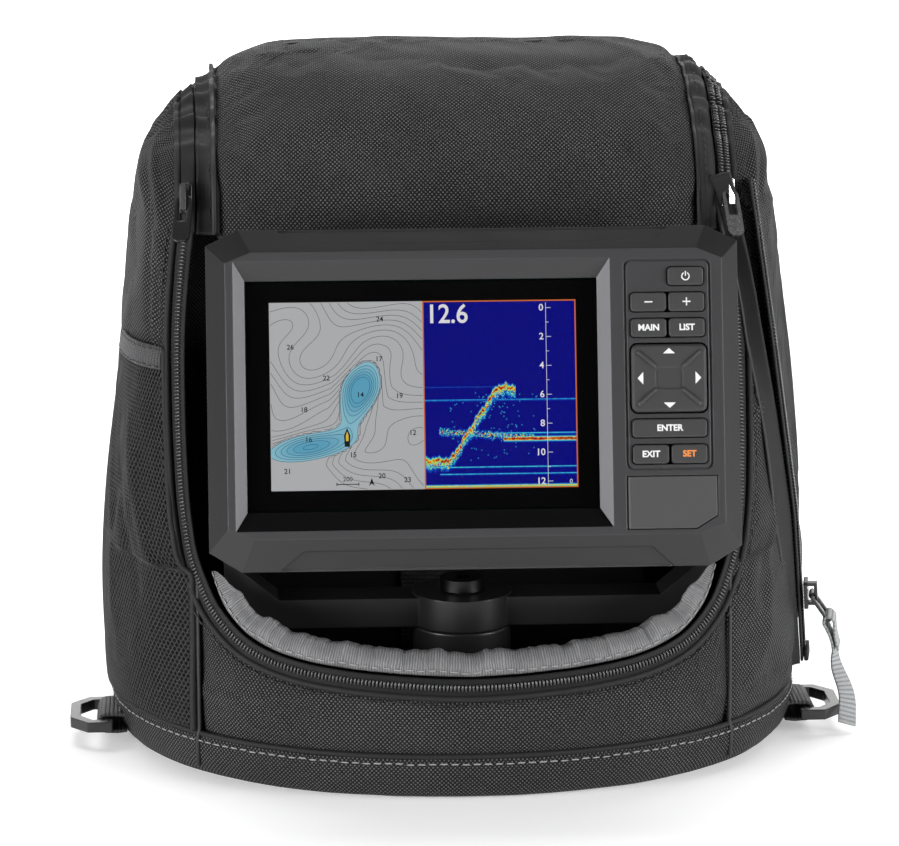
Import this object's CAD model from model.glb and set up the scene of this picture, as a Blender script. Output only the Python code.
import math
import random

import bpy
import numpy as np
from mathutils import Matrix, Vector


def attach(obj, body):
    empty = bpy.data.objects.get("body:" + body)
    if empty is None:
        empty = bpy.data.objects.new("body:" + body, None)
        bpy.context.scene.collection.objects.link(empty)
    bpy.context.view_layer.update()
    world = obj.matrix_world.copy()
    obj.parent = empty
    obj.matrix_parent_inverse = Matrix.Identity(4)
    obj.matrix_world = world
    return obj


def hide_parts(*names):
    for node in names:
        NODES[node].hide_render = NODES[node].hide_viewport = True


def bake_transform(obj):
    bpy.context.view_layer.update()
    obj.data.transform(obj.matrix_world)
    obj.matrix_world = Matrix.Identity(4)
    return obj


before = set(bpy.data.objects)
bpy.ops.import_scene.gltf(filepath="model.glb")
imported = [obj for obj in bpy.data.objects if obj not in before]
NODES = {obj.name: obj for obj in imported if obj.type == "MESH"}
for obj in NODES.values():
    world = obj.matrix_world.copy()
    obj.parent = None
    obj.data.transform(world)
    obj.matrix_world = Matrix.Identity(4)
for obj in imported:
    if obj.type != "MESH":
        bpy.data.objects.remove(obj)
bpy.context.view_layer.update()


rng = np.random.default_rng(11)
random.seed(11)

# ------------------------------------------------------------------ the bag's surface, in mm
Y_FRONT = [(0, -99), (12, -102), (30, -103), (50, -101), (90, -91), (110, -81), (130, -69), (150, -57), (170, -46),
           (190, -36), (200, -33), (212, -28.5), (222, -21), (232, -9), (240, 3), (247, 16), (252, 30)]
Y_BACK = [(0, 90), (15, 92), (60, 93), (130, 93), (190, 91), (218, 88), (232, 84), (242, 78), (248, 70), (252, 60)]
HALF_W = [(0, 125), (12, 127), (50, 126), (90, 123.5), (130, 120), (155, 118), (180, 115.5), (200, 113.5), (215, 111.5),
          (225, 109), (233, 104.5), (240, 99), (246, 92), (250, 83), (252, 72)]
N_FRONT = [(0, 2.15), (60, 2.2), (130, 2.4), (190, 3.0), (252, 3.2)]
N_BACK = [(0, 4.4), (252, 4.0)]
MIDDLE = [(0, 12), (190, 12), (212, 14), (225, 19), (235, 27), (243, 35), (249, 42), (252, 45)]
BAG_H, BOOT_H, HOOD_HW, LIP_Z, SEAM_X = 252.0, 17.0, 94.0, 191.0, 95.4
U_HALF = [(0, 42.3), (31, 43.6), (47, 44.8), (60, 46.4), (72, 49.4), (81, 54), (89, 62), (93.5, 70), (97.2, 80),
          (99, 90), (100.4, 105), (101.2, 130), (101.0, 157), (99.2, 180), (97.2, 198), (97.2, 214)]


def mono_tab(tab, zs):
    x = np.array([t[0] for t in tab], float)
    y = np.array([t[1] for t in tab], float)
    h = np.diff(x)
    d = np.diff(y) / h
    m = np.zeros(len(x))
    m[0], m[-1] = d[0], d[-1]
    for i in range(1, len(x) - 1):
        if d[i - 1] * d[i] > 0:
            w1, w2 = 2 * h[i] + h[i - 1], h[i] + 2 * h[i - 1]
            m[i] = (w1 + w2) / (w1 / d[i - 1] + w2 / d[i])
    zs = np.clip(zs, x[0], x[-1])
    i = np.clip(np.searchsorted(x, zs, side="right") - 1, 0, len(x) - 2)
    t = (zs - x[i]) / h[i]
    return ((2 * t**3 - 3 * t**2 + 1) * y[i] + (t**3 - 2 * t**2 + t) * h[i] * m[i]
            + (-2 * t**3 + 3 * t**2) * y[i + 1] + (t**3 - t**2) * h[i] * m[i + 1])


ZG = np.linspace(0, BAG_H, 505)
T_A, T_F, T_B = mono_tab(HALF_W, ZG), mono_tab(Y_FRONT, ZG), mono_tab(Y_BACK, ZG)
T_NF, T_NB, T_M = mono_tab(N_FRONT, ZG), mono_tab(N_BACK, ZG), mono_tab(MIDDLE, ZG)
_ph = np.linspace(0, math.pi / 2, 161)
RX, RY, RL = [], [], []
for k in range(len(ZG)):
    fx = T_A[k] * np.sin(_ph) ** (2 / T_NF[k])
    fy = T_M[k] - (T_M[k] - T_F[k]) * np.cos(_ph) ** (2 / T_NF[k])
    bx = T_A[k] * np.cos(_ph) ** (2 / T_NB[k])
    by = T_M[k] + (T_B[k] - T_M[k]) * np.sin(_ph) ** (2 / T_NB[k])
    x, y = np.concatenate([fx, bx[1:]]), np.concatenate([fy, by[1:]])
    RX.append(x), RY.append(y)
    RL.append(np.concatenate([[0], np.cumsum(np.hypot(np.diff(x), np.diff(y)))]))


def _row(z):
    f = min(max(z, 0.0), BAG_H) / BAG_H * (len(ZG) - 1)
    i = min(int(f), len(ZG) - 2)
    return i, f - i


def P(z, s):
    """Point of the bag's surface at height z and arc length s from the middle of the front (negative to the left)."""
    i, f = _row(z)
    q = abs(s)
    x = np.interp(q, RL[i], RX[i]) * (1 - f) + np.interp(q, RL[i + 1], RX[i + 1]) * f
    y = np.interp(q, RL[i], RY[i]) * (1 - f) + np.interp(q, RL[i + 1], RY[i + 1]) * f
    return np.array([math.copysign(x, s) if s else 0.0, y, z])


def s_at_x(z, x):
    i, f = _row(z)
    k = 161
    return np.interp(x, RX[i][:k], RL[i][:k]) * (1 - f) + np.interp(x, RX[i + 1][:k], RL[i + 1][:k]) * f


def s_at_y(z, y):
    i, f = _row(z)
    return np.interp(y, RY[i], RL[i]) * (1 - f) + np.interp(y, RY[i + 1], RL[i + 1]) * f


def half_len(z):
    i, f = _row(z)
    return RL[i][-1] * (1 - f) + RL[i + 1][-1] * f


def N(z, s):
    e = 1.2
    zt, zb = min(z + e, BAG_H - 0.01), max(z - e, 0.01)
    a = P(z, s + e) - P(z, s - e)
    b = P(zt, s) - P(zb, s)
    n = np.cross(a, b)
    return n / (np.linalg.norm(n) + 1e-12)


def front_y(x, z):
    i, f = _row(z)
    return P(z, s_at_x(z, abs(x)))[1]


_uh = np.array(U_HALF, float)


def u_z(x):
    """Height of the U line's bottom at x."""
    return float(np.interp(abs(x), _uh[:9, 0], _uh[:9, 1]))


def smooth_poly(pts, n):
    """Catmull-Rom through pts, resampled to n points of equal spacing."""
    pts = [np.array(p, float) for p in pts]
    ext = [2 * pts[0] - pts[1]] + pts + [2 * pts[-1] - pts[-2]]
    out = []
    for i in range(1, len(ext) - 2):
        a, b, c, d = ext[i - 1], ext[i], ext[i + 1], ext[i + 2]
        for t in np.linspace(0, 1, 14, endpoint=False):
            out.append(0.5 * (2 * b + (c - a) * t + (2 * a - 5 * b + 4 * c - d) * t * t + (3 * b - 3 * c + d - a) * t**3))
    out.append(pts[-1])
    out = np.array(out)
    return resample(out, n)


def resample(out, n):
    out = np.asarray(out, float)
    L = np.concatenate([[0], np.cumsum(np.linalg.norm(np.diff(out, axis=0), axis=1))])
    t = np.linspace(0, L[-1], n)
    return np.stack([np.interp(t, L, out[:, k]) for k in range(out.shape[1])], 1)


def length(p):
    return float(np.sum(np.linalg.norm(np.diff(np.asarray(p), axis=0), axis=1)))


U_LINE = smooth_poly([(-x, z) for x, z in reversed(U_HALF)] + list(U_HALF[1:]), 361)   # (x, z)


def u_path(grow=0.0, lift=0.0, z_max=1e9, n=361):
    """The U line on the bag's surface moved outwards by grow in the front view, and its surface normals."""
    t = np.gradient(U_LINE, axis=0)
    t /= np.linalg.norm(t, axis=1)[:, None]
    q = U_LINE + np.stack([t[:, 1], -t[:, 0]], 1) * grow
    q = q[q[:, 1] <= z_max]
    q = resample(q, n)
    pts, nrm = [], []
    for x, z in q:
        s = math.copysign(s_at_x(z, abs(x)), x)
        nn = N(z, s)
        pts.append(P(z, s) + nn * lift)
        nrm.append(nn)
    return np.array(pts), np.array(nrm)


def noise1(t, seed=0, octaves=3):
    r = np.random.default_rng(seed)
    out = np.zeros_like(np.asarray(t, float))
    for o in range(octaves):
        ph = r.uniform(0, 6.28, 3)
        fr = (2.0 ** o) * np.array([1.0, 1.37, 1.73])
        for a, b in zip(ph, fr):
            out += np.sin(np.asarray(t) * b + a) / (2.0 ** o) / 3
    return out


# ------------------------------------------------------------------ mesh helpers
def add_mesh(name, verts, faces, mat=None, uv=None, smooth=True, scale=0.001):
    me = bpy.data.meshes.new(name)
    me.from_pydata([tuple(float(c) * scale for c in v) for v in verts], [], [tuple(f) for f in faces])
    if uv is not None:
        lay = me.uv_layers.new(name="UVMap")
        li = np.empty(len(me.loops), int)
        me.loops.foreach_get("vertex_index", li)
        lay.data.foreach_set("uv", np.asarray(uv, np.float32)[li].ravel())
    me.validate()
    me.update()
    if smooth:
        me.polygons.foreach_set("use_smooth", [True] * len(me.polygons))
    o = bpy.data.objects.new(name, me)
    bpy.context.scene.collection.objects.link(o)
    if mat:
        me.materials.append(mat)
    return o


def grid(name, G, UV, mat, flip=False):
    n, m = G.shape[:2]
    f = []
    for i in range(n - 1):
        for j in range(m - 1):
            q = (i * m + j, i * m + j + 1, (i + 1) * m + j + 1, (i + 1) * m + j)
            f.append(q[::-1] if flip else q)
    return add_mesh(name, G.reshape(-1, 3), f, mat, UV.reshape(-1, 2))


def arc_uv(G):
    """UVs in mm along and across a grid."""
    n, m = G.shape[:2]
    du = np.linalg.norm(np.diff(G, axis=1), axis=2)
    dv = np.linalg.norm(np.diff(G, axis=0), axis=2)
    u = np.concatenate([np.zeros((n, 1)), np.cumsum(du, 1)], 1)
    v = np.concatenate([np.zeros((1, m)), np.cumsum(dv, 0)], 0)
    u -= u[:, m // 2][:, None]
    return np.stack([u, v], 2)


def solid(o, t, offset=-1.0, sub=0, rim=True):
    if t:
        s = o.modifiers.new("thick", "SOLIDIFY")
        s.thickness, s.offset, s.use_rim = t * 0.001, offset, rim
    if sub:
        b = o.modifiers.new("sub", "SUBSURF")
        b.levels = b.render_levels = sub
    return o


def frames_along(path, normals=None):
    path = np.asarray(path, float)
    t = np.gradient(path, axis=0)
    t /= np.linalg.norm(t, axis=1)[:, None] + 1e-12
    if normals is None:
        n = np.tile(np.array([0.0, 0.0, 1.0]), (len(path), 1))
        if abs(t[0][2]) > 0.9:
            n = np.tile(np.array([0.0, 1.0, 0.0]), (len(path), 1))
        for i in range(len(path)):
            v = n[i - 1] if i else n[0]
            v = v - t[i] * v.dot(t[i])
            n[i] = v / (np.linalg.norm(v) + 1e-12)
    else:
        n = np.asarray(normals, float)
        n = n - t * np.sum(n * t, 1)[:, None]
        n /= np.linalg.norm(n, axis=1)[:, None] + 1e-12
    return t, n, np.cross(n, t)


def sweep(name, path, section, mat, normals=None, closed=False, caps=True, vary=None):
    """Sweeps a closed section [(across, out), ...] along a path. vary(i, k) may scale/shift the section."""
    path = np.asarray(path, float)
    t, n, b = frames_along(path, normals)
    sec = np.asarray(section, float)
    k = len(sec)
    V, UV, F = [], [], []
    L = np.concatenate([[0], np.cumsum(np.linalg.norm(np.diff(path, axis=0), axis=1))])
    per = np.concatenate([[0], np.cumsum(np.linalg.norm(np.diff(np.vstack([sec, sec[:1]]), axis=0), axis=1))])
    for i in range(len(path)):
        sc = vary(i) if vary else sec
        for j in range(k):
            V.append(path[i] + b[i] * sc[j][0] + n[i] * sc[j][1])
            UV.append((per[j], L[i]))
    rows = len(path)
    for i in range(rows - 1 + (1 if closed else 0)):
        a, c = i * k, ((i + 1) % rows) * k
        for j in range(k):
            jn = (j + 1) % k
            F.append((a + j, a + jn, c + jn, c + j))
    if caps and not closed:
        F.append(tuple(range(k))[::-1])
        F.append(tuple((rows - 1) * k + j for j in range(k)))
    return add_mesh(name, V, F, mat, UV)


def circle_sec(r, k=10, sx=1.0, sy=1.0):
    return [(r * sx * math.cos(2 * math.pi * j / k), r * sy * math.sin(2 * math.pi * j / k)) for j in range(k)]


def rrect_sec(w, h, r, y0=0.0, k=3):
    """Rounded rectangle section, w across, h out, standing on y0."""
    out = []
    for cx, cy, a0 in ((w / 2 - r, y0 + r, -90), (w / 2 - r, y0 + h - r, 0), (-w / 2 + r, y0 + h - r, 90), (-w / 2 + r, y0 + r, 180)):
        for j in range(k):
            a = math.radians(a0 + 90 * j / (k - 1))
            out.append((cx + r * math.cos(a), cy + r * math.sin(a)))
    return out


def beads(name, pts, T, Nn, B, dims, mat, k=6, rows=(0.0, 0.5, 1.0), power=2.6):
    """Many small rounded bars merged in one mesh: dims = (along T, along B, along N)."""
    lat = [(-1.0, 0.45), (-0.72, 0.85), (0.0, 1.0), (0.72, 0.85), (1.0, 0.45)]
    V, F = [], []
    for p, t, n, b in zip(pts, T, Nn, B):
        base = len(V)
        for a, r in lat:
            for j in range(k):
                c, s = math.cos(2 * math.pi * j / k), math.sin(2 * math.pi * j / k)
                V.append(p + b * (a * dims[1] / 2) + t * (c * r * dims[0] / 2) + n * (s * r * dims[2] / 2))
        for i in range(len(lat) - 1):
            for j in range(k):
                jn = (j + 1) % k
                F.append((base + i * k + j, base + i * k + jn, base + (i + 1) * k + jn, base + (i + 1) * k + j))
        F.append(tuple(base + j for j in range(k))[::-1])
        F.append(tuple(base + (len(lat) - 1) * k + j for j in range(k)))
    return add_mesh(name, V, F, mat)


def place_along(path, normals, pitch, start=0.0, end=0.0):
    """Evenly spaced stations on a path with their frames."""
    L = length(path)
    n = max(2, int((L - start - end) / pitch))
    path = np.asarray(path)
    Lc = np.concatenate([[0], np.cumsum(np.linalg.norm(np.diff(path, axis=0), axis=1))])
    t = start + (np.arange(n) + 0.5) * (L - start - end) / n
    q = np.stack([np.interp(t, Lc, path[:, k]) for k in range(3)], 1)
    nn = np.stack([np.interp(t, Lc, np.asarray(normals)[:, k]) for k in range(3)], 1)
    T, Nn, B = frames_along(q, nn)
    return q, T, Nn, B


def stitches(name, path, normals, mat, dash=3.0, gap=1.3, w=0.75, h=0.55, lift=0.25):
    q, T, Nn, B = place_along(path, normals, dash + gap)
    q = q + Nn * lift
    jit = rng.normal(0, 0.10, (len(q), 1))
    q = q + B * jit
    return beads(name, q, B, Nn, T, (w, dash, h), mat, k=6)


def teeth(name, path, normals, mat, pitch=1.25, width=2.5, off=0.0, thick=0.85, high=1.0, lift=0.5):
    q, T, Nn, B = place_along(path, normals, pitch)
    q = q + B * off + Nn * lift
    return beads(name, q, T, Nn, B, (thick, width, high), mat, k=6)


# ------------------------------------------------------------------ materials
class M:
    """Small builder of node materials."""

    def __init__(self, name):
        self.m = bpy.data.materials.new(name)
        self.m.use_nodes = True
        self.t = self.m.node_tree
        self.b = self.t.nodes["Principled BSDF"]

    def n(self, kind, **kw):
        node = self.t.nodes.new(kind)
        for k, v in kw.items():
            setattr(node, k, v)
        return node

    def link(self, a, b):
        self.t.links.new(a, b)

    def val(self, name, v):
        self.b.inputs[name].default_value = v

    def math(self, op, a, b=None, clamp=False):
        n = self.n("ShaderNodeMath", operation=op, use_clamp=clamp)
        for i, v in enumerate((a, b)):
            if v is None:
                continue
            if isinstance(v, (int, float)):
                n.inputs[i].default_value = v
            else:
                self.link(v, n.inputs[i])
        return n.outputs[0]

    def noise(self, vec, scale, detail=3.0, rough=0.55):
        n = self.n("ShaderNodeTexNoise")
        n.inputs["Scale"].default_value = scale
        n.inputs["Detail"].default_value = detail
        n.inputs["Roughness"].default_value = rough
        if vec is not None:
            self.link(vec, n.inputs["Vector"])
        return n.outputs["Fac"]

    def ramp(self, fac, stops):
        r = self.n("ShaderNodeValToRGB")
        el = r.color_ramp.elements
        while len(el) < len(stops):
            el.new(0.5)
        for e, (p, c) in zip(el, stops):
            e.position = p
            e.color = (*c, 1) if len(c) == 3 else c
        self.link(fac, r.inputs["Fac"])
        return r.outputs["Color"]

    def mix(self, fac, a, b, mode="MIX"):
        n = self.n("ShaderNodeMix", data_type="RGBA", blend_type=mode)
        for i, v in ((0, fac), (6, a), (7, b)):
            if isinstance(v, (int, float)):
                n.inputs[i].default_value = v
            elif isinstance(v, tuple):
                n.inputs[i].default_value = (*v, 1)
            else:
                self.link(v, n.inputs[i])
        return n.outputs[2]

    def bump(self, height, strength, dist, normal=None):
        n = self.n("ShaderNodeBump")
        n.inputs["Strength"].default_value = strength
        n.inputs["Distance"].default_value = dist
        self.link(height, n.inputs["Height"])
        if normal is not None:
            self.link(normal, n.inputs["Normal"])
        return n.outputs[0]

    def obj(self):
        return self.n("ShaderNodeTexCoord").outputs["Object"]

    def uv(self):
        n = self.n("ShaderNodeUVMap")
        n.uv_map = "UVMap"
        return n.outputs[0]

    def xyz(self, vec):
        s = self.n("ShaderNodeSeparateXYZ")
        self.link(vec, s.inputs[0])
        return s.outputs

    def done(self, color=None, rough=None, normal=None):
        if color is not None:
            self.link(color, self.b.inputs["Base Color"]) if not isinstance(color, tuple) else self.val("Base Color", (*color, 1))
        if rough is not None:
            self.link(rough, self.b.inputs["Roughness"]) if not isinstance(rough, (int, float)) else self.val("Roughness", rough)
        if normal is not None:
            self.link(normal, self.b.inputs["Normal"])
        return self.m


def scaled(c, k):
    return tuple(x * k for x in c)


def weave(name, light, dark, pu=0.77, pv=0.84, rough=0.62, bump=1.0, sheen=0.0, spec=0.12, dist=0.00040):
    """Plain weave in UV millimetres: staggered weft floats over darker warp, with slubs and patchy wear."""
    m = M(name)
    uv = m.uv()
    wob = m.noise(uv, 0.09, 2.0)
    x, y, _ = m.xyz(uv)
    y = m.math("ADD", y, m.math("MULTIPLY", wob, 0.9))
    a = m.math("SINE", m.math("MULTIPLY", x, math.pi / pu))
    b = m.math("SINE", m.math("MULTIPLY", y, math.pi / pv))
    p = m.math("MULTIPLY", a, b)
    over = m.math("POWER", m.math("MAXIMUM", p, 0.0), 0.42)
    under = m.math("MULTIPLY", m.math("POWER", m.math("MAXIMUM", m.math("MULTIPLY", p, -1.0), 0.0), 0.7), 0.22)
    h = m.math("ADD", over, under)
    grain = m.noise(uv, 1.1, 3.0)
    patch = m.noise(uv, 0.022, 3.0)
    fac = m.math("MULTIPLY", h, m.math("ADD", 0.62, m.math("MULTIPLY", grain, 0.7)), clamp=True)
    c = m.ramp(fac, [(0.0, dark), (0.34, tuple(i * 0.17 + j * 0.5 for i, j in zip(light, dark))), (1.0, light)])
    worn = m.math("ADD", 0.55, m.math("MULTIPLY", patch, 0.9))
    tint = m.n("ShaderNodeCombineColor")
    for k in range(3):
        m.link(worn, tint.inputs[k])
    c = m.mix(1.0, c, tint.outputs[0], "MULTIPLY")
    r = m.math("SUBTRACT", rough + 0.12, m.math("MULTIPLY", h, 0.22))
    nb = m.bump(patch, 0.25, 0.004)
    nrm = m.bump(h, bump, dist, nb)
    m.val("Sheen Weight", sheen)
    m.val("Sheen Roughness", 0.5)
    m.val("Specular IOR Level", spec)
    return m.done(c, r, nrm)


def twill(name, light, dark, pitch=0.62, rough=0.6, bump=0.5, diag=1.0):
    """Fine diagonal twill, for bindings, tapes and linings."""
    m = M(name)
    uv = m.uv()
    x, y, _ = m.xyz(uv)
    d = m.math("ADD", x, m.math("MULTIPLY", y, diag))
    s = m.math("SINE", m.math("MULTIPLY", d, 2 * math.pi / pitch))
    s2 = m.math("SINE", m.math("MULTIPLY", m.math("SUBTRACT", x, y), 2 * math.pi / (pitch * 0.55)))
    h = m.math("ADD", m.math("MULTIPLY", s, 0.35), m.math("MULTIPLY", s2, 0.15))
    h = m.math("ADD", h, 0.5)
    g = m.noise(uv, 0.5, 4.0)
    patch = m.noise(uv, 0.05, 3.0)
    c = m.ramp(m.math("MULTIPLY", h, m.math("ADD", 0.5, g), clamp=True), [(0.0, dark), (1.0, light)])
    c = m.mix(m.math("MULTIPLY", patch, 0.4), c, scaled(light, 0.6))
    nrm = m.bump(m.math("ADD", h, m.math("MULTIPLY", g, 0.5)), bump, 0.00012)
    m.val("Specular IOR Level", 0.22)
    return m.done(c, rough, nrm)


def ribbed(name, light, dark, pitch=1.5, rough=0.6):
    """Webbing with cross ribs and a fine lengthwise thread."""
    m = M(name)
    uv = m.uv()
    x, y, _ = m.xyz(uv)
    a = m.math("ABSOLUTE", m.math("SINE", m.math("MULTIPLY", y, math.pi / pitch)))
    b = m.math("ABSOLUTE", m.math("SINE", m.math("MULTIPLY", x, math.pi / 0.8)))
    h = m.math("ADD", m.math("POWER", a, 0.6), m.math("MULTIPLY", b, 0.35))
    g = m.noise(uv, 0.8, 3.0)
    c = m.ramp(m.math("MULTIPLY", h, m.math("ADD", 0.45, m.math("MULTIPLY", g, 0.6)), clamp=True), [(0.0, dark), (1.0, light)])
    return m.done(c, rough, m.bump(h, 0.9, 0.0003))


def moulded(name, base, rough=0.5, grain=0.35, scale=2600.0, spec=0.45, edge=True, edge_gain=1.7, dist=0.00006):
    """Moulded plastic with a fine spark texture, faint mottling, and edges rubbed lighter."""
    m = M(name)
    ob = m.obj()
    fine = m.noise(ob, scale, 2.0, 0.6)
    cell = m.n("ShaderNodeTexVoronoi")
    cell.inputs["Scale"].default_value = scale * 0.62
    m.link(ob, cell.inputs["Vector"])
    spark = m.math("ADD", m.math("MULTIPLY", fine, 0.7), m.math("MULTIPLY", cell.outputs["Distance"], 0.5))
    big = m.noise(ob, 38.0, 3.0)
    c = m.mix(m.math("MULTIPLY", big, 0.5), base, scaled(base, 0.80))
    c = m.mix(m.math("MULTIPLY", fine, 0.25), c, scaled(base, 1.25))
    nrm = m.bump(spark, grain, dist)
    if edge:
        bv = m.n("ShaderNodeBevel", samples=4)
        bv.inputs["Radius"].default_value = 0.0007
        geo = m.n("ShaderNodeNewGeometry")
        dt = m.n("ShaderNodeVectorMath", operation="DOT_PRODUCT")
        m.link(bv.outputs[0], dt.inputs[0])
        m.link(geo.outputs["True Normal"], dt.inputs[1])
        wear = m.math("MULTIPLY", m.math("SUBTRACT", 1.0, dt.outputs["Value"]), 3.0, clamp=True)
        c = m.mix(m.math("MULTIPLY", wear, 0.6), c, scaled(base, edge_gain))
        nrm = m.bump(spark, grain, dist, bv.outputs[0])
    r = m.math("ADD", rough - 0.06, m.math("MULTIPLY", big, 0.14))
    m.val("Specular IOR Level", spec)
    return m.done(c, r, nrm)


def metal(name, base, rough=0.28):
    m = M(name)
    ob = m.obj()
    g = m.noise(ob, 900.0, 4.0)
    big = m.noise(ob, 60.0, 3.0)
    m.val("Metallic", 1.0)
    c = m.mix(m.math("MULTIPLY", big, 0.5), base, scaled(base, 0.7))
    r = m.math("ADD", rough - 0.08, m.math("MULTIPLY", g, 0.22))
    return m.done(c, r, m.bump(g, 0.15, 0.00005))


def thread(name, base):
    m = M(name)
    ob = m.obj()
    g = m.noise(ob, 2500.0, 3.0)
    c = m.mix(m.math("MULTIPLY", g, 0.7), base, scaled(base, 0.6))
    return m.done(c, 0.6, m.bump(g, 0.5, 0.0001))


def glow(name, color, strength=1.0, grain=0.02):
    """A lit screen colour with a faint pixel grid."""
    m = M(name)
    ob = m.obj()
    g = m.noise(ob, 3000.0, 1.0)
    c = m.mix(m.math("MULTIPLY", g, grain * 4), color, scaled(color, 0.9))
    m.val("Roughness", 0.6)
    m.val("Specular IOR Level", 0.1)
    m.link(c, m.b.inputs["Emission Color"])
    m.val("Emission Strength", strength)
    m.val("Base Color", (0.0, 0.0, 0.0, 1))
    return m.m


MAT = {
    "weave": weave("ballistic_weave", (0.120, 0.120, 0.122), (0.0008, 0.0008, 0.0009)),
    "weave_back": weave("ballistic_weave_rear", (0.098, 0.098, 0.100), (0.0012, 0.0012, 0.0013)),
    "binding": twill("binding_twill", (0.024, 0.024, 0.025), (0.007, 0.007, 0.0075)),
    "tape": twill("zip_tape_twill", (0.012, 0.012, 0.0125), (0.003, 0.003, 0.003), 0.9),
    "tooth": moulded("zip_coil", (0.020, 0.020, 0.021), 0.24, 0.05, 1500, 0.7, False),
    
    "thread_grey": thread("grey_thread", (0.30, 0.30, 0.305)),
    "thread_black": thread("black_thread", (0.010, 0.010, 0.010)),
    "web_black": ribbed("black_webbing", (0.042, 0.042, 0.044), (0.005, 0.005, 0.005)),
    "web_grey": ribbed("grey_webbing", (0.36, 0.37, 0.375), (0.09, 0.09, 0.095), 1.7),
    "ring": moulded("ring_acetal", (0.012, 0.012, 0.0125), 0.25, 0.08, 800, 0.5),
    "silver": metal("plated_zinc", (0.72, 0.72, 0.73), 0.22),
    "pull_black": moulded("black_enamel", (0.014, 0.014, 0.015), 0.22, 0.06, 900, 0.6),
    "case": moulded("case_plastic", (0.021, 0.021, 0.022), 0.40, 0.28, 2600, 0.5, True, 2.6),
    "key": moulded("key_silicone", (0.040, 0.040, 0.041), 0.50, 0.2, 3000, 0.3, True, 2.4),
    "door": moulded("door_plastic", (0.058, 0.058, 0.059), 0.46, 0.3, 2600, 0.35, True, 2.2),
    "inner": moulded("inner_plastic", (0.02, 0.02, 0.021), 0.5, 0.2, 1800, 0.4),
    "rubber": moulded("black_rubber", (0.012, 0.012, 0.012), 0.65, 0.3, 1500, 0.35, False),
    "bracket": moulded("bracket_nylon", (0.012, 0.012, 0.0125), 0.34, 0.22, 1400, 0.5),
    "tray": moulded("tray_plastic", (0.02, 0.02, 0.02), 0.45, 0.3, 1600, 0.45),
    "battery": moulded("battery_abs", (0.03, 0.03, 0.031), 0.42, 0.3, 1500, 0.45),
    "puck": moulded("transducer_plastic", (0.05, 0.05, 0.052), 0.4, 0.25, 1600, 0.45),
    "cable": moulded("cable_jacket", (0.012, 0.012, 0.012), 0.4, 0.15, 1800, 0.45, False),
    "steel": metal("screw_steel", (0.5, 0.5, 0.51), 0.3),
    "black_oxide": metal("black_oxide", (0.035, 0.035, 0.036), 0.34),
    "board": moulded("solder_mask", (0.01, 0.07, 0.03), 0.35, 0.2, 1200, 0.5),
    "legend": thread("legend_white", (0.80, 0.80, 0.80)),
    "legend_orange": thread("legend_orange", (0.85, 0.27, 0.05)),
}


def liner_material():
    """Smooth nylon with fine ribs across its length and crushed, lighter patches."""
    m = M("liner_nylon")
    uv = m.uv()
    x, y, _ = m.xyz(uv)
    wob = m.noise(uv, 0.25, 2.0)
    rib = m.math("SINE", m.math("MULTIPLY", m.math("ADD", x, m.math("MULTIPLY", wob, 1.2)), 2 * math.pi / 0.95))
    rib = m.math("ADD", m.math("MULTIPLY", rib, 0.5), 0.5)
    patch = m.noise(uv, 0.10, 4.0)
    fine = m.noise(uv, 2.2, 2.0)
    f = m.math("MULTIPLY", m.math("ADD", 0.30, m.math("MULTIPLY", rib, 0.70)), m.math("ADD", 0.25, m.math("MULTIPLY", patch, 1.5)), clamp=True)
    c = m.ramp(f, [(0.0, (0.040, 0.040, 0.042)), (1.0, (0.185, 0.185, 0.19))])
    m.val("Specular IOR Level", 0.4)
    return m.done(c, 0.45, m.bump(m.math("ADD", rib, m.math("MULTIPLY", fine, 0.4)), 0.7, 0.00018))


MAT["liner"] = liner_material()
MAT["backing"] = twill("pocket_backing", (0.0055, 0.0055, 0.0057), (0.002, 0.002, 0.002), 0.9)


def lens_material():
    m = M("lens_glass")
    ob = m.obj()
    g = m.noise(ob, 300.0, 2.0)
    m.val("Base Color", (0.0, 0.0, 0.0, 1))
    m.val("Alpha", 0.07)
    m.link(m.math("ADD", 0.03, m.math("MULTIPLY", g, 0.04)), m.b.inputs["Roughness"])
    return m.m


def shroud_material():
    """Printed black border behind the lens."""
    m = M("screen_border")
    ob = m.obj()
    g = m.noise(ob, 700.0, 2.0)
    c = m.mix(m.math("MULTIPLY", g, 0.5), (0.0022, 0.0022, 0.0024), (0.0035, 0.0035, 0.004))
    m.val("Specular IOR Level", 0.06)
    return m.done(c, m.math("ADD", 0.12, m.math("MULTIPLY", g, 0.05)), m.bump(g, 0.02, 0.00002))


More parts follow.
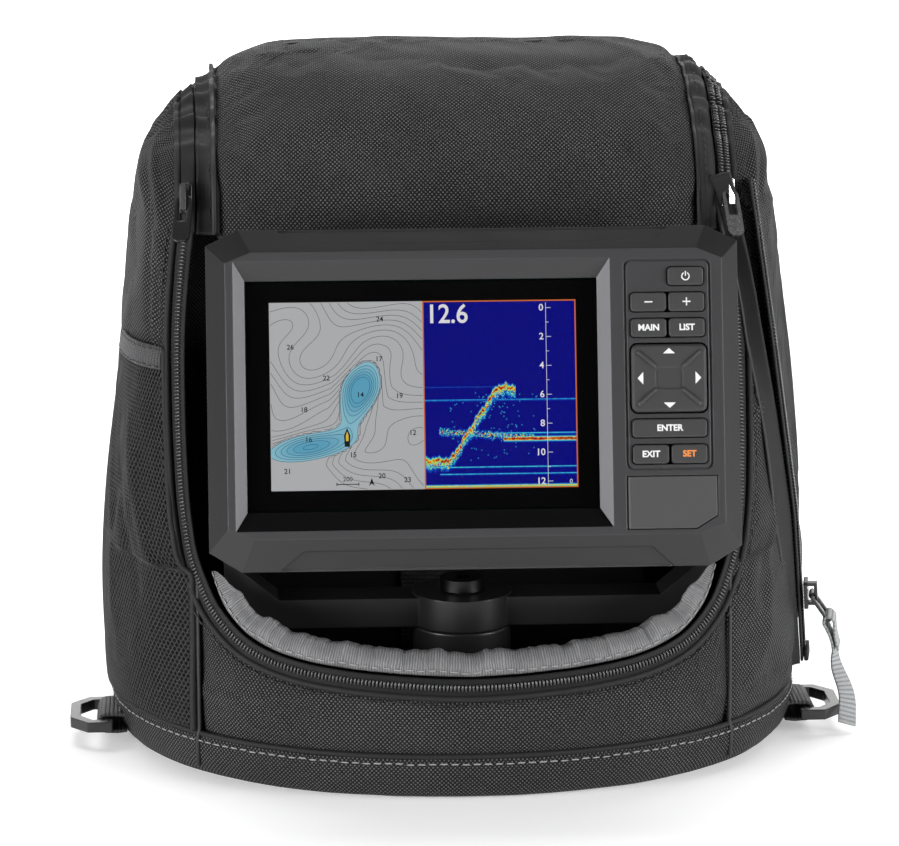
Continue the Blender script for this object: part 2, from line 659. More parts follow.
def case_material():
    """Spark-textured case: satin lighter inner side bevels, darker upper bevels, rubbed edges."""
    m = MAT["case"]
    t = m.node_tree
    b = t.nodes["Principled BSDF"]
    src = b.inputs["Base Color"].links[0].from_socket
    h = M.__new__(M)
    h.m, h.t, h.b = m, t, b
    ob = h.obj()
    x, y, z = h.xyz(ob)
    geo = h.n("ShaderNodeNewGeometry")
    vt = h.n("ShaderNodeVectorTransform", vector_type="NORMAL", convert_from="WORLD", convert_to="OBJECT")
    h.link(geo.outputs["True Normal"], vt.inputs[0])
    nx, ny, nz = h.xyz(vt.outputs[0])
    u = h.math("MULTIPLY", h.math("SUBTRACT", x, 0.0025), 1000.0)
    inner_l = h.math("MULTIPLY", h.math("GREATER_THAN", nx, 0.45), h.math("MULTIPLY", h.math("LESS_THAN", u, -78.0), h.math("GREATER_THAN", u, -85.6)))
    inner_r = h.math("MULTIPLY", h.math("LESS_THAN", nx, -0.45), h.math("MULTIPLY", h.math("GREATER_THAN", u, 43.0), h.math("LESS_THAN", u, 48.4)))
    side = h.math("ADD", inner_l, inner_r, clamp=True)
    up = h.math("MULTIPLY", h.math("SUBTRACT", nz, 0.30), 3.4, clamp=True)
    face = h.math("MULTIPLY", h.math("SUBTRACT", h.math("MULTIPLY", ny, -1.0), 0.93), 20.0, clamp=True)
    flank = h.math("MULTIPLY", h.math("SUBTRACT", h.math("ABSOLUTE", nx), 0.40), 4.0, clamp=True)
    flank = h.math("MULTIPLY", flank, h.math("SUBTRACT", 1.0, side))
    tone = h.math("ADD", h.math("SUBTRACT", 1.0, h.math("MULTIPLY", up, 0.80)), h.math("MULTIPLY", side, 6.5))
    tone = h.math("MULTIPLY", tone, h.math("ADD", 1.0, h.math("MULTIPLY", face, 1.15)))
    tone = h.math("MULTIPLY", tone, h.math("SUBTRACT", 1.0, h.math("MULTIPLY", flank, 0.55)))
    cc = h.n("ShaderNodeCombineColor")
    for k in range(3):
        h.link(tone, cc.inputs[k])
    c = h.mix(1.0, src, cc.outputs[0], "MULTIPLY")
    h.link(c, b.inputs["Base Color"])
    h.link(h.math("SUBTRACT", 0.36, h.math("ADD", h.math("MULTIPLY", up, 0.30), h.math("MULTIPLY", flank, 0.16)), clamp=True), b.inputs["Specular IOR Level"])


case_material()
MAT["lens"] = lens_material()
MAT["border"] = shroud_material()


def smoothstep(t):
    t = min(1.0, max(0.0, t))
    return t * t * (3 - 2 * t)


def sag(p):
    """The soft top corners hang lower than the middle, more so on the left, and pucker along the zips."""
    x, y, z = p
    k = smoothstep((abs(x) - 60.0) / 34.0) * smoothstep((z - 204.0) / 40.0)
    dz = -(6.4 if x < 0 else 2.2) * k - 2.4 * smoothstep((z - 210.0) / 36.0)
    e = smoothstep((abs(x) - 82.0) / 10.0) * smoothstep((z - 218.0) / 16.0)
    dz += e * 1.25 * (math.sin(y * 0.42 + 1.1 * math.copysign(1, x)) + 0.6 * math.sin(y * 0.83 + x * 0.11))
    return x, y, z + dz


def settle(o):
    me = o.data
    co = np.empty(len(me.vertices) * 3, np.float32)
    me.vertices.foreach_get("co", co)
    co = co.reshape(-1, 3).astype(float) * 1000
    hit = np.where(co[:, 2] > 204)[0]
    for i in hit:
        co[i] = sag(co[i])
    if len(hit):
        me.vertices.foreach_set("co", (co / 1000).astype(np.float32).ravel())
        me.update()


def put(o, body, replaces=()):
    if body in ("bag", "hood"):
        settle(o)
    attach(o, body)
    if replaces:
        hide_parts(*replaces)
    return o


def dress(node, mat):
    o = NODES[node]
    o.data.materials.clear()
    o.data.materials.append(MAT[mat])


for names, mat in (
        (("front_housing", "rear_housing"), "case"),
        (("key_power", "key_minus", "key_plus", "key_home", "key_menu", "key_select", "key_back", "key_mark", "dpad_rocker"), "key"),
        (("card_door",), "door"),
        (("dpad_pivot", "card_socket", "contact_block", "gps_antenna"), "inner"),
        (("housing_seal", "keypad_membrane"), "rubber"),
        (("main_board", "keypad_board"), "board"),
        (("housing_screws", "base_screws", "swivel_bolt", "latch_pin"), "steel"),
        (("cradle", "cradle_latch", "cradle_plug", "bail_bracket", "swivel_base", "tilt_knob_left", "tilt_knob_right"), "bracket"),
        (("base_tray",), "tray"), (("battery",), "battery"), (("transducer",), "puck"),
        (("transducer_cable", "power_cable"), "cable"), (("lens_glass",), "lens"), (("lcd_module",), "border"),
        (("d_ring_left", "d_ring_right"), "ring"),
        (("main_slider_left", "main_slider_right", "main_pull_right", "pocket_slider"), "silver"),
        (("main_pull_left", "pocket_pull"), "pull_black")):
    for nm in names:
        dress(nm, mat)
dress("main_slider_left", "pull_black")
dress("pocket_slider", "pull_black")
dress("swivel_bolt", "black_oxide")

# ------------------------------------------------------------------ cloth settling of the soft panels
SOFT = []


def soften(o, grow=0.012, cap=9.0, press=3.5, stiff=2.0, rim=2):
    SOFT.append((o, grow, cap, press, stiff, rim))
    return o


def border_distance(me, rim):
    """Ring number of every vertex counted from the open edge, up to rim + 3."""
    n = len(me.vertices)
    use = {}
    for f in me.polygons:
        for k in f.edge_keys:
            use[k] = use.get(k, 0) + 1
    nb = [[] for _ in range(n)]
    for a, b in use:
        nb[a].append(b)
        nb[b].append(a)
    d = [99] * n
    front = {v for k, c in use.items() if c == 1 for v in k}
    for v in front:
        d[v] = 0
    for step in range(1, rim + 4):
        nxt = set()
        for v in front:
            for q in nb[v]:
                if d[q] > step:
                    d[q] = step
                    nxt.add(q)
        front = nxt
    return d


def run_cloth(frames=16):
    """Lets every registered panel, a little larger than its frame of seams, find its folds under a slight pressure."""
    if not SOFT:
        return
    sc = bpy.context.scene
    tmp = []
    for o, grow, cap, press, stiff, rim in SOFT:
        me = o.data.copy()
        t = bpy.data.objects.new(o.name + "_sim", me)
        sc.collection.objects.link(t)
        d = border_distance(me, rim)
        vg = t.vertex_groups.new(name="pin")
        for v, q in enumerate(d):
            if q < rim + 3:
                vg.add([v], 1.0 if q <= rim else (1.0 - (q - rim) / 3.0), "REPLACE")
        c = t.modifiers.new("cloth", "CLOTH")
        st = c.settings
        st.quality = 5
        st.mass = 0.15
        st.vertex_group_mass = "pin"
        st.tension_stiffness = st.compression_stiffness = 15
        st.shear_stiffness = 6
        st.bending_stiffness = stiff
        st.air_damping = 4
        st.effector_weights.gravity = 0.0
        st.use_pressure = True
        st.uniform_pressure_force = press
        st.shrink_min = st.shrink_max = -grow
        c.collision_settings.use_collision = False
        c.point_cache.frame_start, c.point_cache.frame_end = 1, frames
        tmp.append((o, t, cap))
    sc.frame_start, sc.frame_end = 1, frames
    for f in range(1, frames + 1):
        sc.frame_set(f)
    dg = bpy.context.evaluated_depsgraph_get()
    for o, t, cap in tmp:
        ev = t.evaluated_get(dg).data
        n = len(o.data.vertices)
        a = np.empty(n * 3, np.float32)
        b = np.empty(n * 3, np.float32)
        o.data.vertices.foreach_get("co", a)
        ev.vertices.foreach_get("co", b)
        dv = (b - a).reshape(-1, 3).astype(float)
        dv[~np.isfinite(dv).all(axis=1)] = 0
        nr = np.array([v.normal for v in o.data.vertices], float)
        inward = np.minimum((dv * nr).sum(axis=1) + 0.0003, 0.0)
        dv -= nr * inward[:, None]
        ln = np.linalg.norm(dv, axis=1)
        lim = cap * 0.001
        k = np.where(ln > 1e-9, lim * np.tanh(ln / lim) / np.maximum(ln, 1e-9), 0)
        dv *= k[:, None]
        print("cloth", o.name, "largest move mm", round(float(ln.max()) * 1000, 2), "kept", round(float((ln * k).max()) * 1000, 2))
        o.data.vertices.foreach_set("co", (a.reshape(-1, 3) + dv).astype(np.float32).ravel())
        o.data.update()
    for o, t, cap in tmp:
        me = t.data
        bpy.data.objects.remove(t)
        bpy.data.meshes.remove(me)
    sc.frame_set(1)
    SOFT.clear()


# ------------------------------------------------------------------ bag panels
def panel_grid(zs, s_lo, s_hi, cols, lift=0.0, shape=None):
    G = np.zeros((len(zs), cols, 3))
    for i, z in enumerate(zs):
        a, b = s_lo(z), s_hi(z)
        for j in range(cols):
            s = a + (b - a) * j / (cols - 1)
            p, n = P(z, s), N(z, s)
            d = lift + (shape(i / (len(zs) - 1), j / (cols - 1), z, s) if shape else 0.0)
            G[i, j] = p + n * d
    return G


def fold(u, v, cx, cy, ang, wid, ln):
    """A soft crease: a ridge of width wid and length ln at (cx, cy), turned by ang."""
    c, s = math.cos(ang), math.sin(ang)
    a = (u - cx) * c + (v - cy) * s
    b = -(u - cx) * s + (v - cy) * c
    return math.exp(-(b / wid) ** 2) * math.exp(-(a / ln) ** 4)


def edge_dip(u, v, w=0.045, deep=1.0, sides="lrtb"):
    """Seam valley near a panel's edges."""
    d = 9.0
    if "l" in sides: d = min(d, u)
    if "r" in sides: d = min(d, 1 - u)
    if "b" in sides: d = min(d, v)
    if "t" in sides: d = min(d, 1 - v)
    return -deep * math.exp(-(d / w) ** 2)


# front panel
def front_shape(v, u, z, s):
    d = 1.6 * math.sin(math.pi * u) ** 0.5 * math.sin(math.pi * min(1, v * 1.0)) ** 0.7
    d += edge_dip(u, v, 0.02, 1.3, "lr") + edge_dip(u, v, 0.10, 0.8, "tb")
    d += 0.7 * noise1(np.array([s * 0.06 + z * 0.03]), 5)[0] * math.sin(math.pi * v)
    d += 1.0 * fold(u, v, 0.10, 0.55, 1.2, 0.02, 0.4) + 0.9 * fold(u, v, 0.91, 0.5, 1.9, 0.02, 0.35)
    return d


cols, rows = 150, 26
G = np.zeros((rows, cols, 3))
for j in range(cols):
    x = -SEAM_X + 0.3 + (2 * SEAM_X - 0.6) * j / (cols - 1)
    top = u_z(x) - 3.2
    for i in range(rows):
        z = BOOT_H + 0.3 + (top - BOOT_H - 0.3) * i / (rows - 1)
        s = math.copysign(s_at_x(z, abs(x)), x) if x else 0.0
        G[i, j] = P(z, s) + N(z, s) * front_shape(i / (rows - 1), j / (cols - 1), z, s)
front = grid("front_fabric", G, arc_uv(G), MAT["weave"])
soften(front, 0.014, 4.5, 3.0, 1.2)
put(solid(front, 2.0), "bag", ["front_panel"])


def side_front_s(z):
    if z < 75:
        return s_at_x(z, SEAM_X + 0.3)
    if z < LIP_Z:
        xu = float(np.interp(z, _uh[7:, 1], _uh[7:, 0])) + 3.1
        return s_at_x(z, max(SEAM_X + 0.3, xu))
    return s_at_x(z, HOOD_HW + 5.9)


def side_back_s(z):
    i, f = _row(z)
    s = s_at_y(z, 58.1)
    # near the top the panel narrows to its own edge line
    x = RX[i][161:]
    return s


zs_side = np.concatenate([np.linspace(BOOT_H + 0.3, 190, 70), np.linspace(191.5, 238.6, 28)])


def side_shape(side):
    def f(v, u, z, s):
        d = 1.8 * math.sin(math.pi * u) ** 0.6 * math.sin(math.pi * v) ** 0.4
        d += edge_dip(u, v, 0.018, 1.3, "lr")
        d += 1.3 * fold(u, v, 0.12, 0.78, 1.15, 0.022, 0.16) - 1.1 * fold(u, v, 0.17, 0.70, 1.25, 0.020, 0.2)
        d += 1.1 * fold(u, v, 0.10, 0.60, 1.45, 0.018, 0.16) - 0.9 * fold(u, v, 0.06, 0.45, 1.55, 0.016, 0.14)
        d += 1.2 * fold(u, v, 0.32, 0.86, 0.7, 0.03, 0.2) + 0.9 * fold(u, v, 0.22, 0.32, 1.3, 0.025, 0.2)
        d += 0.9 * noise1(np.array([s * 0.045 + side * 2 + z * 0.05]), 7 + side)[0]
        return d * (0.3 + 0.7 * min(1, (1 - v) * 12))
    return f


sides = {}
for sgn, nm in ((-1, "left"), (1, "right")):
    G = panel_grid(zs_side, side_front_s, side_back_s, 64, 0.0, side_shape(sgn))
    G[:, :, 0] *= sgn
    o = grid(f"side_fabric_{nm}", G, arc_uv(G), MAT["weave"], flip=(sgn < 0))
    if sgn < 0:
        o.data.materials.append(MAT["backing"])
        for f in o.data.polygons:
            if f.center.z < 0.146:
                f.material_index = 1
    soften(o, 0.016, 5.0, 3.0, 1.2)
    put(solid(o, 2.0), "bag", [f"side_panel_{nm}"])

# back panel
def back_shape(v, u, z, s):
    d = 2.0 * math.sin(math.pi * u) ** 0.5 * math.sin(math.pi * v) ** 0.5 + edge_dip(u, v, 0.015, 1.2, "lr")
    return d + 0.8 * noise1(np.array([s * 0.03 + z * 0.04]), 21)[0]


zs_b = np.concatenate([np.linspace(BOOT_H + 0.3, 236, 60), np.linspace(238, 251.2, 10)])
G = np.zeros((len(zs_b), 110, 3))
for i, z in enumerate(zs_b):
    a, b = s_at_y(z, 58.6), 2 * half_len(z) - s_at_y(z, 58.6)
    for j in range(110):
        s = a + (b - a) * j / 109
        H = half_len(z)
        mirror = s > H
        q = 2 * H - s if mirror else s
        p, n = P(z, q), N(z, min(q, H - 1.3))
        if mirror:
            p, n = p * [-1, 1, 1], n * [-1, 1, 1]
        G[i, j] = p + n * back_shape(i / (len(zs_b) - 1), j / 109, z, s)
o = grid("back_fabric", G, arc_uv(G), MAT["weave_back"])
soften(o, 0.010, 4.5, 3.0, 2.0)
put(solid(o, 2.0), "bag", ["back_panel"])

# base band with its rolled lower edge and floor
ring_n = 220
levels = [(BOOT_H, -0.2), (BOOT_H - 1.0, 0.5), (13.5, 1.0), (9.5, 1.0), (6, 0.6), (3.5, -0.2), (1.6, -1.4), (0.5, -3.2), (0.0, -6.0)]
V, F, UVs = [], [], []
for li, (z, off) in enumerate(levels):
    Hh = half_len(max(z, 0.2))
    for j in range(ring_n):
        s = -Hh + 2 * Hh * j / ring_n
        q, sg = abs(s), (1 if s >= 0 else -1)
        q = min(max(q, 0.01), Hh - 0.01)
        p, n = P(max(z, 0.2), q), N(max(z, 1.3), min(max(q, 1.3), Hh - 1.3))
        n = np.array([n[0], n[1], 0]) / math.hypot(n[0], n[1])
        p = p + n * (off + 0.35 * noise1(np.array([s * 0.08]), 3)[0])
        p[0] *= sg
        p[2] = z
        V.append(p)
        UVs.append((s, z))
nl = len(levels)
for i in range(nl - 1):
    for j in range(ring_n):
        jn = (j + 1) % ring_n
        F.append((i * ring_n + j, (i + 1) * ring_n + j, (i + 1) * ring_n + jn, i * ring_n + jn))
cen = len(V)
V.append((0, 0, 0.0)); UVs.append((0, 0))
for j in range(ring_n):
    F.append(((nl - 1) * ring_n + j, cen, (nl - 1) * ring_n + (j + 1) % ring_n))
base = add_mesh("base_band", V, F, MAT["weave"], UVs)
put(solid(base, 1.8), "bag", ["bag_boot"])


def ring_path(z, lift, n=420, s0=None, s1=None):
    Hh = half_len(z)
    s0 = -Hh + 0.5 if s0 is None else s0
    s1 = Hh - 0.5 if s1 is None else s1
    pts, nr = [], []
    for s in np.linspace(s0, s1, n):
        nn = N(z, math.copysign(min(abs(s), Hh - 1.3), s) if s else 0.01)
        pts.append(P(z, s) + nn * lift)
        nr.append(nn)
    return np.array(pts), np.array(nr)


pt, nr = ring_path(BOOT_H - 2.2, 1.15)
put(stitches("base_stitching", pt, nr, MAT["thread_grey"], 2.7, 1.2, 0.62, 0.5, 0.1), "bag")
pt, nr = ring_path(BOOT_H + 0.2, -0.2)
put(sweep("base_seam_cord", pt, circle_sec(1.1, 8), MAT["binding"], nr), "bag")

# vertical seams of the front panel
for sgn, nm in ((-1, "left"), (1, "right")):
    pts, nr = [], []
    for z in np.linspace(5, 74, 60):
        s = sgn * s_at_x(z, SEAM_X)
        n = N(z, s)
        pts.append(P(z, s) + n * (0.15 + 0.9 * smoothstep((BOOT_H + 1.5 - z) / 3.0)))
        nr.append(n)
    put(sweep(f"front_seam_{nm}", pts, circle_sec(0.85, 8, 1.0, 0.8), MAT["thread_black"], nr), "bag")
    # rear seams
    pts, nr = [], []
    for z in np.linspace(16, 237, 120):
        s = sgn * s_at_y(z, 58.35)
        n = N(z, s)
        pts.append(P(z, s) + n * 0.3)
        nr.append(n)
    put(sweep(f"rear_seam_{nm}", pts, circle_sec(1.6, 8), MAT["binding"], nr), "bag")

# ------------------------------------------------------------------ hood
def hood_profile(x, n, z0=LIP_Z, y_end=55.5):
    ax = abs(x)
    k0 = int(z0 / BAG_H * (len(ZG) - 1))
    f, b = [], []
    for k in range(k0, len(ZG)):
        if ax < T_A[k]:
            f.append((T_M[k] - (T_M[k] - T_F[k]) * (1 - (ax / T_A[k]) ** T_NF[k]) ** (1 / T_NF[k]), ZG[k]))
            b.append((T_M[k] + (T_B[k] - T_M[k]) * (1 - (ax / T_A[k]) ** T_NB[k]) ** (1 / T_NB[k]), ZG[k]))
    pts = np.array(f + b[::-1])
    cut = [p for p in pts[:len(f)]] + [p for p in pts[len(f):] if p[0] <= y_end]
    cut = np.array(cut)
    last = pts[len(f):]
    y = [p for p in last if p[0] > y_end]
    if y:
        e = np.array([y_end, np.interp(y_end, [cut[-1][0], y[0][0]], [cut[-1][1], y[0][1]])])
        cut = np.vstack([cut, e])
    for _ in range(14):
        cut[1:-1] = cut[1:-1] * 0.5 + (cut[:-2] + cut[2:]) * 0.25
    return resample(cut, n)


def hood_grid(x0, x1, cols, n, lift=0.0, shape=None):
    G = np.zeros((n, cols, 3))
    for j in range(cols):
        x = x0 + (x1 - x0) * j / (cols - 1)
        pr = hood_profile(x, n)
        G[:, j, 0] = x
        G[:, j, 1:] = pr
    du = np.gradient(G, axis=1)
    dv = np.gradient(G, axis=0)
    nn = np.cross(du, dv)
    nn /= np.linalg.norm(nn, axis=2)[:, :, None] + 1e-9
    D = np.full((n, cols), lift)
    if shape:
        for i in range(n):
            for j in range(cols):
                D[i, j] += shape(i / (n - 1), j / (cols - 1))
    return G + nn * D[:, :, None], nn


BIND = 87.6   # where the weave of the hood meets its side bindings


def hood_shape(v, u):
    d = 2.2 * math.sin(math.pi * u) ** 0.5 * (1 - 0.5 * v)
    d += edge_dip(u, v, 0.02, 1.6, "lr")
    d += 1.5 * fold(u, v, 0.5, 0.30, 0.03, 0.05, 0.42) * (0.6 + 0.4 * math.sin(u * 7 + 1))
    d -= 1.3 * fold(u, v, 0.62, 0.10, -0.10, 0.035, 0.20)
    d += 0.9 * fold(u, v, 0.30, 0.13, 0.12, 0.03, 0.2) - 1.2 * fold(u, v, 0.93, 0.06, 0.55, 0.03, 0.10)
    d += 0.9 * fold(u, v, 0.86, 0.09, 0.5, 0.025, 0.12) - 0.8 * fold(u, v, 0.06, 0.12, -0.6, 0.03, 0.10)
    d += 0.6 * noise1(np.array([u * 9 + v * 6]), 31)[0]
    return d


HG, HN = hood_grid(-BIND, BIND, 120, 90, 0.0, hood_shape)
# the front edge tucks in a little, so that the head's back passes it when it tilts
run_up = np.concatenate([np.zeros((1, HG.shape[1])), np.cumsum(np.linalg.norm(np.diff(HG, axis=0), axis=2), axis=0)])
HG = HG - HN * (1.7 * (1.0 - np.clip(run_up / 24.0, 0, 1) ** 2 * (3 - 2 * np.clip(run_up / 24.0, 0, 1))))[:, :, None]
hood = grid("hood_fabric", HG, arc_uv(HG), MAT["weave"])
soften(hood, 0.016, 5.5, 2.0, 1.2)
put(solid(hood, 2.0), "hood", ["hood_panel"])

for sgn, nm in ((-1, "left"), (1, "right")):
    G, _ = hood_grid(sgn * BIND, sgn * (HOOD_HW - 0.2), 12, 90, 0.0, lambda v, u: 1.6 * math.sin(math.pi * u) ** 0.6 + 0.2
                     + 0.5 * noise1(np.array([v * 14]), 41)[0])
    o = grid(f"hood_binding_{nm}", G, arc_uv(G), MAT["binding"], flip=(sgn < 0))
    put(solid(o, 2.0), "hood")
    G, nn = hood_grid(sgn * (BIND - 0.9), sgn * (BIND + 0.9), 3, 110)
    put(sweep(f"hood_seam_{nm}", G[:, 1] - nn[:, 1] * 0.5, circle_sec(0.9, 8), MAT["thread_black"], nn[:, 1]), "hood")
    G, nn = hood_grid(sgn * (BIND + 1.6), sgn * (BIND + 2.6), 3, 110)
    put(stitches(f"hood_topstitch_{nm}", G[:, 1] + nn[:, 1] * 1.5, nn[:, 1], MAT["thread_black"], 2.4, 0.9, 0.6, 0.5, 0.2), "hood")

# rolled lip along the hood's lower front edge
lip = HG[0]
lip_n = HN[0]
sec = circle_sec(1.3, 10)
put(sweep("hood_lip", lip - lip_n * 1.3, sec, MAT["binding"], lip_n), "hood")

# fabric hinge that carries the hood: held by the back panel on one edge and by the hood on the other
HS = 76.0
G = np.zeros((13, 61, 3))
for j, x in enumerate(np.linspace(-HS, HS, 61)):
    pr = hood_profile(x, 400, LIP_Z, 70.0)
    for i, y in enumerate(np.linspace(47.0, 66.0, 13)):
        rear = pr[np.argmax(pr[:, 1]):]
        ff = pr[:np.argmax(pr[:, 1]) + 1]
        z = float(np.interp(y, rear[:, 0], rear[:, 1])) if y >= rear[0, 0] else float(np.interp(y, ff[:, 0], ff[:, 1]))
        e = min(1.0, 4 * (1 - abs(x) / HS))
        G[i, j] = (x, y, z + 1.1 * e + 0.2 * math.sin(x * 0.21) * e)
o = grid("hood_hinge_fabric", G, arc_uv(G), MAT["binding"])
settle(o)
solid(o, 1.4)
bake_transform(o)

# fabric gussets that close the two rear corners beneath the hood's ends
for sgn, nm in ((-1, "left"), (1, "right")):
    G = panel_grid(np.linspace(222.0, 248.6, 24), lambda z: s_at_y(z, 42.0), lambda z: s_at_y(z, 66.0), 18, -3.2)
    G[:, :, 0] *= sgn
    o = grid(f"corner_gusset_{nm}", G, arc_uv(G), MAT["binding"], flip=(sgn < 0))
    put(solid(o, 1.2), "bag")

# ------------------------------------------------------------------ main zip
pts, nr = u_path(0.0, 0.0, LIP_Z + 2, 420)
tape = sweep("main_zip_tape", pts, rrect_sec(6.4, 1.0, 0.45, -0.4), MAT["tape"], nr)
put(tape, "bag", ["main_zip_track"])
put(teeth("main_zip_coil", pts, nr, MAT["tooth"], 1.3, 2.6, 0.0, 0.95, 1.3, 0.85), "bag")
pts2, nr2 = u_path(3.9, 0.4, LIP_Z + 2, 420)
put(sweep("main_zip_piping", pts2, circle_sec(1.25, 8), MAT["binding"], nr2), "bag")
pts3, nr3 = u_path(6.0, 1.1, LIP_Z + 2, 420)
put(stitches("main_zip_topstitch", pts3, nr3, MAT["thread_black"], 2.6, 1.0, 0.6, 0.5, 0.2), "bag")

for sgn, nm in ((-1, "left"), (1, "right")):
    G, nn = hood_grid(sgn * 94.4, sgn * 99.6, 5, 130)
    keep = slice(0, 122)
    c, cn = G[keep, 2], nn[keep, 2] * (1 if sgn > 0 else 1)
    cn = np.where((cn[:, 1] > 0.9)[:, None], cn, cn)
    o = sweep(f"hood_zip_tape_{nm}", c, rrect_sec(5.4, 1.0, 0.45, -0.5), MAT["tape"], cn)
    put(o, "bag")
    put(teeth(f"hood_zip_coil_a_{nm}", c, cn, MAT["tooth"], 1.25, 2.3, 1.35, 0.95, 1.3, 0.9), "bag")
    put(teeth(f"hood_zip_coil_b_{nm}", c, cn, MAT["tooth"], 1.25, 2.3, -1.35, 0.95, 1.3, 0.9), "bag")
    G, nn = hood_grid(sgn * 99.9, sgn * 101.5, 3, 110)
    put(sweep(f"hood_zip_piping_{nm}", G[:104, 1] + nn[:104, 1] * 0.2, circle_sec(1.4, 8), MAT["binding"], nn[:104, 1]), "bag")

# ------------------------------------------------------------------ grey liner inside the opening
def liner():
    pts, nr = u_path(-3.6, -0.4, 77.0, 620)
    t = np.gradient(pts, axis=0)
    t /= np.linalg.norm(t, axis=1)[:, None]
    inw = np.cross(nr, t)
    mid = pts[len(pts) // 2]
    if np.dot(inw[len(pts) // 2], np.array([0, 0, 1.0])) < 0:
        inw = -inw
    L = np.concatenate([[0], np.cumsum(np.linalg.norm(np.diff(pts, axis=0), axis=1))])
    prof = [(0.0, -0.9), (0.6, 0.2), (2.0, 0.5), (3.7, 0.3), (5.4, -0.3), (7.0, -1.2), (8.2, -2.6), (8.7, -5.0), (8.4, -9.0), (7.4, -13.5), (6.0, -18.5)]
    rowsn = len(prof)
    G = np.zeros((rowsn, len(pts), 3))
    g1, g2, g3 = noise1(L * 0.55, 51), noise1(L * 1.1, 52), noise1(L * 0.21, 53)
    tail = np.minimum(1.0, np.minimum(L, L[-1] - L) / 16.0) ** 0.6
    # the lining turns in less deeply beside the bracket's arms
    room = np.array([1.0 - 0.85 * smoothstep((q[2] - 40.0) / 22.0) for q in pts])
    for i, (a, b) in enumerate(prof):
        amp = min(1.0, i / 4.0)
        if b < -1.2:
            b = -1.2 + (b + 1.2) * room
        da = 0.55 * amp * (0.5 * g1 + 0.3 * g2) + 0.9 * g3 * amp
        db = 0.8 * amp * (0.35 * g2 + 0.75 * g1) * (0.35 + 0.65 * np.abs(g3))
        G[i] = pts + inw * ((a + da) * tail)[:, None] + nr * ((b + db) * tail - 3.0 * (1 - tail))[:, None]
    UV = np.zeros((rowsn, len(pts), 2))
    UV[:, :, 0] = L[None, :]
    UV[:, :, 1] = np.cumsum([0] + [math.hypot(prof[i + 1][0] - prof[i][0], prof[i + 1][1] - prof[i][1]) for i in range(rowsn - 1)])[:, None]
    o = grid("liner_gathers", G, UV, MAT["liner"])
    put(solid(o, 0.5, -1, 1), "bag", ["liner_collar"])
    st = G[2] + nr * 0.2
    put(stitches("liner_stitching", st, nr, MAT["thread_grey"], 2.6, 1.4, 0.6, 0.5, 0.1), "bag")


liner()

# ------------------------------------------------------------------ left mesh pocket
MESH_TOP = 150.0


def mesh_front_s(z):
    return side_front_s(z) + (2.2 if z >= 75 else 1.6)


def pocket_lift(z, s, a, b, top, low=19.0, full=4.4):
    t = (s - a) / (b - a)
    k = (z - low) / (top - low)
    e = min(1.0, 7 * max(0.0, t)) ** 0.6 * min(1.0, 9 * max(0.0, 1 - t)) ** 0.6
    return 0.9 + (full - 0.9) * e * (0.30 + 0.70 * math.sin(math.pi * min(1, max(0, k)) ** 0.8) ** 0.6)


def mesh_point(t, z):
    a, b = mesh_front_s(z), s_at_y(z, 61.0)
    s = a + (b - a) * t
    d = pocket_lift(z, s, a, b, MESH_TOP, 17.6, 4.6)
    k = (z - 18) / (MESH_TOP - 18)
    w = math.sin(math.pi * min(1, max(0, k)))
    d += w * (1.3 * fold(t, k, 0.16, 0.62, 1.30, 0.035, 0.28) - 1.0 * fold(t, k, 0.26, 0.55, 1.35, 0.030, 0.3)
              + 1.2 * fold(t, k, 0.40, 0.45, 1.45, 0.035, 0.33) + 0.9 * noise1(np.array([s * 0.11 + z * 0.05]), 61)[0])
    p, n = P(z, s), N(z, s)
    q = p + n * d
    q[0] *= -1
    return q


def net(name, t_w, z0, z1, pitch_s, pitch_z):
    """Knitted net: hexagon cells laid out over the pocket, drawn as thin cords."""
    rows_n = int((z1 - z0) / pitch_z)
    cols_n = int(t_w / pitch_s)
    V, E = [], {}
    F = []

    def vid(i, j, up):
        key = (i, j, up)
        if key not in E:
            off = 0.5 * (i % 2)
            t = min(1.0, max(0.0, (j + off) / (cols_n + 0.5)))
            z = z0 + (z1 - z0) * min(1.0, max(0.0, (i + (0.18 if up else -0.18) + 0.5) / (rows_n + 1)))
            E[key] = len(V)
            V.append(mesh_point(t, z))
        return E[key]

    for i in range(rows_n):
        for j in range(cols_n):
            o = i % 2
            # hexagon around the cell between row i and row i + 2
            if i + 2 > rows_n:
                continue
            F.append((vid(i, j, True), vid(i + 1, j + o, False), vid(i + 1, j + o, True), vid(i + 2, j, False),
                      vid(i + 1, j + o - 1, True) if j + o - 1 >= 0 else vid(i + 2, j, False),
                      vid(i + 1, j + o - 1, False) if j + o - 1 >= 0 else vid(i, j, True)))
    F = [tuple(dict.fromkeys(f)) for f in F]
    F = [f for f in F if len(f) >= 3]
    o = add_mesh(name, V, F, MAT["net"], smooth=True)
    w = o.modifiers.new("wire", "WIREFRAME")
    w.thickness = 0.00062
    w.use_even_offset = False
    return o


MAT["net"] = thread("net_cord", (0.026, 0.026, 0.027))
n_o = net("mesh_net", 146.0, 17.8, MESH_TOP - 6.0, 2.1, 1.5)
put(n_o, "bag", ["mesh_pocket"])
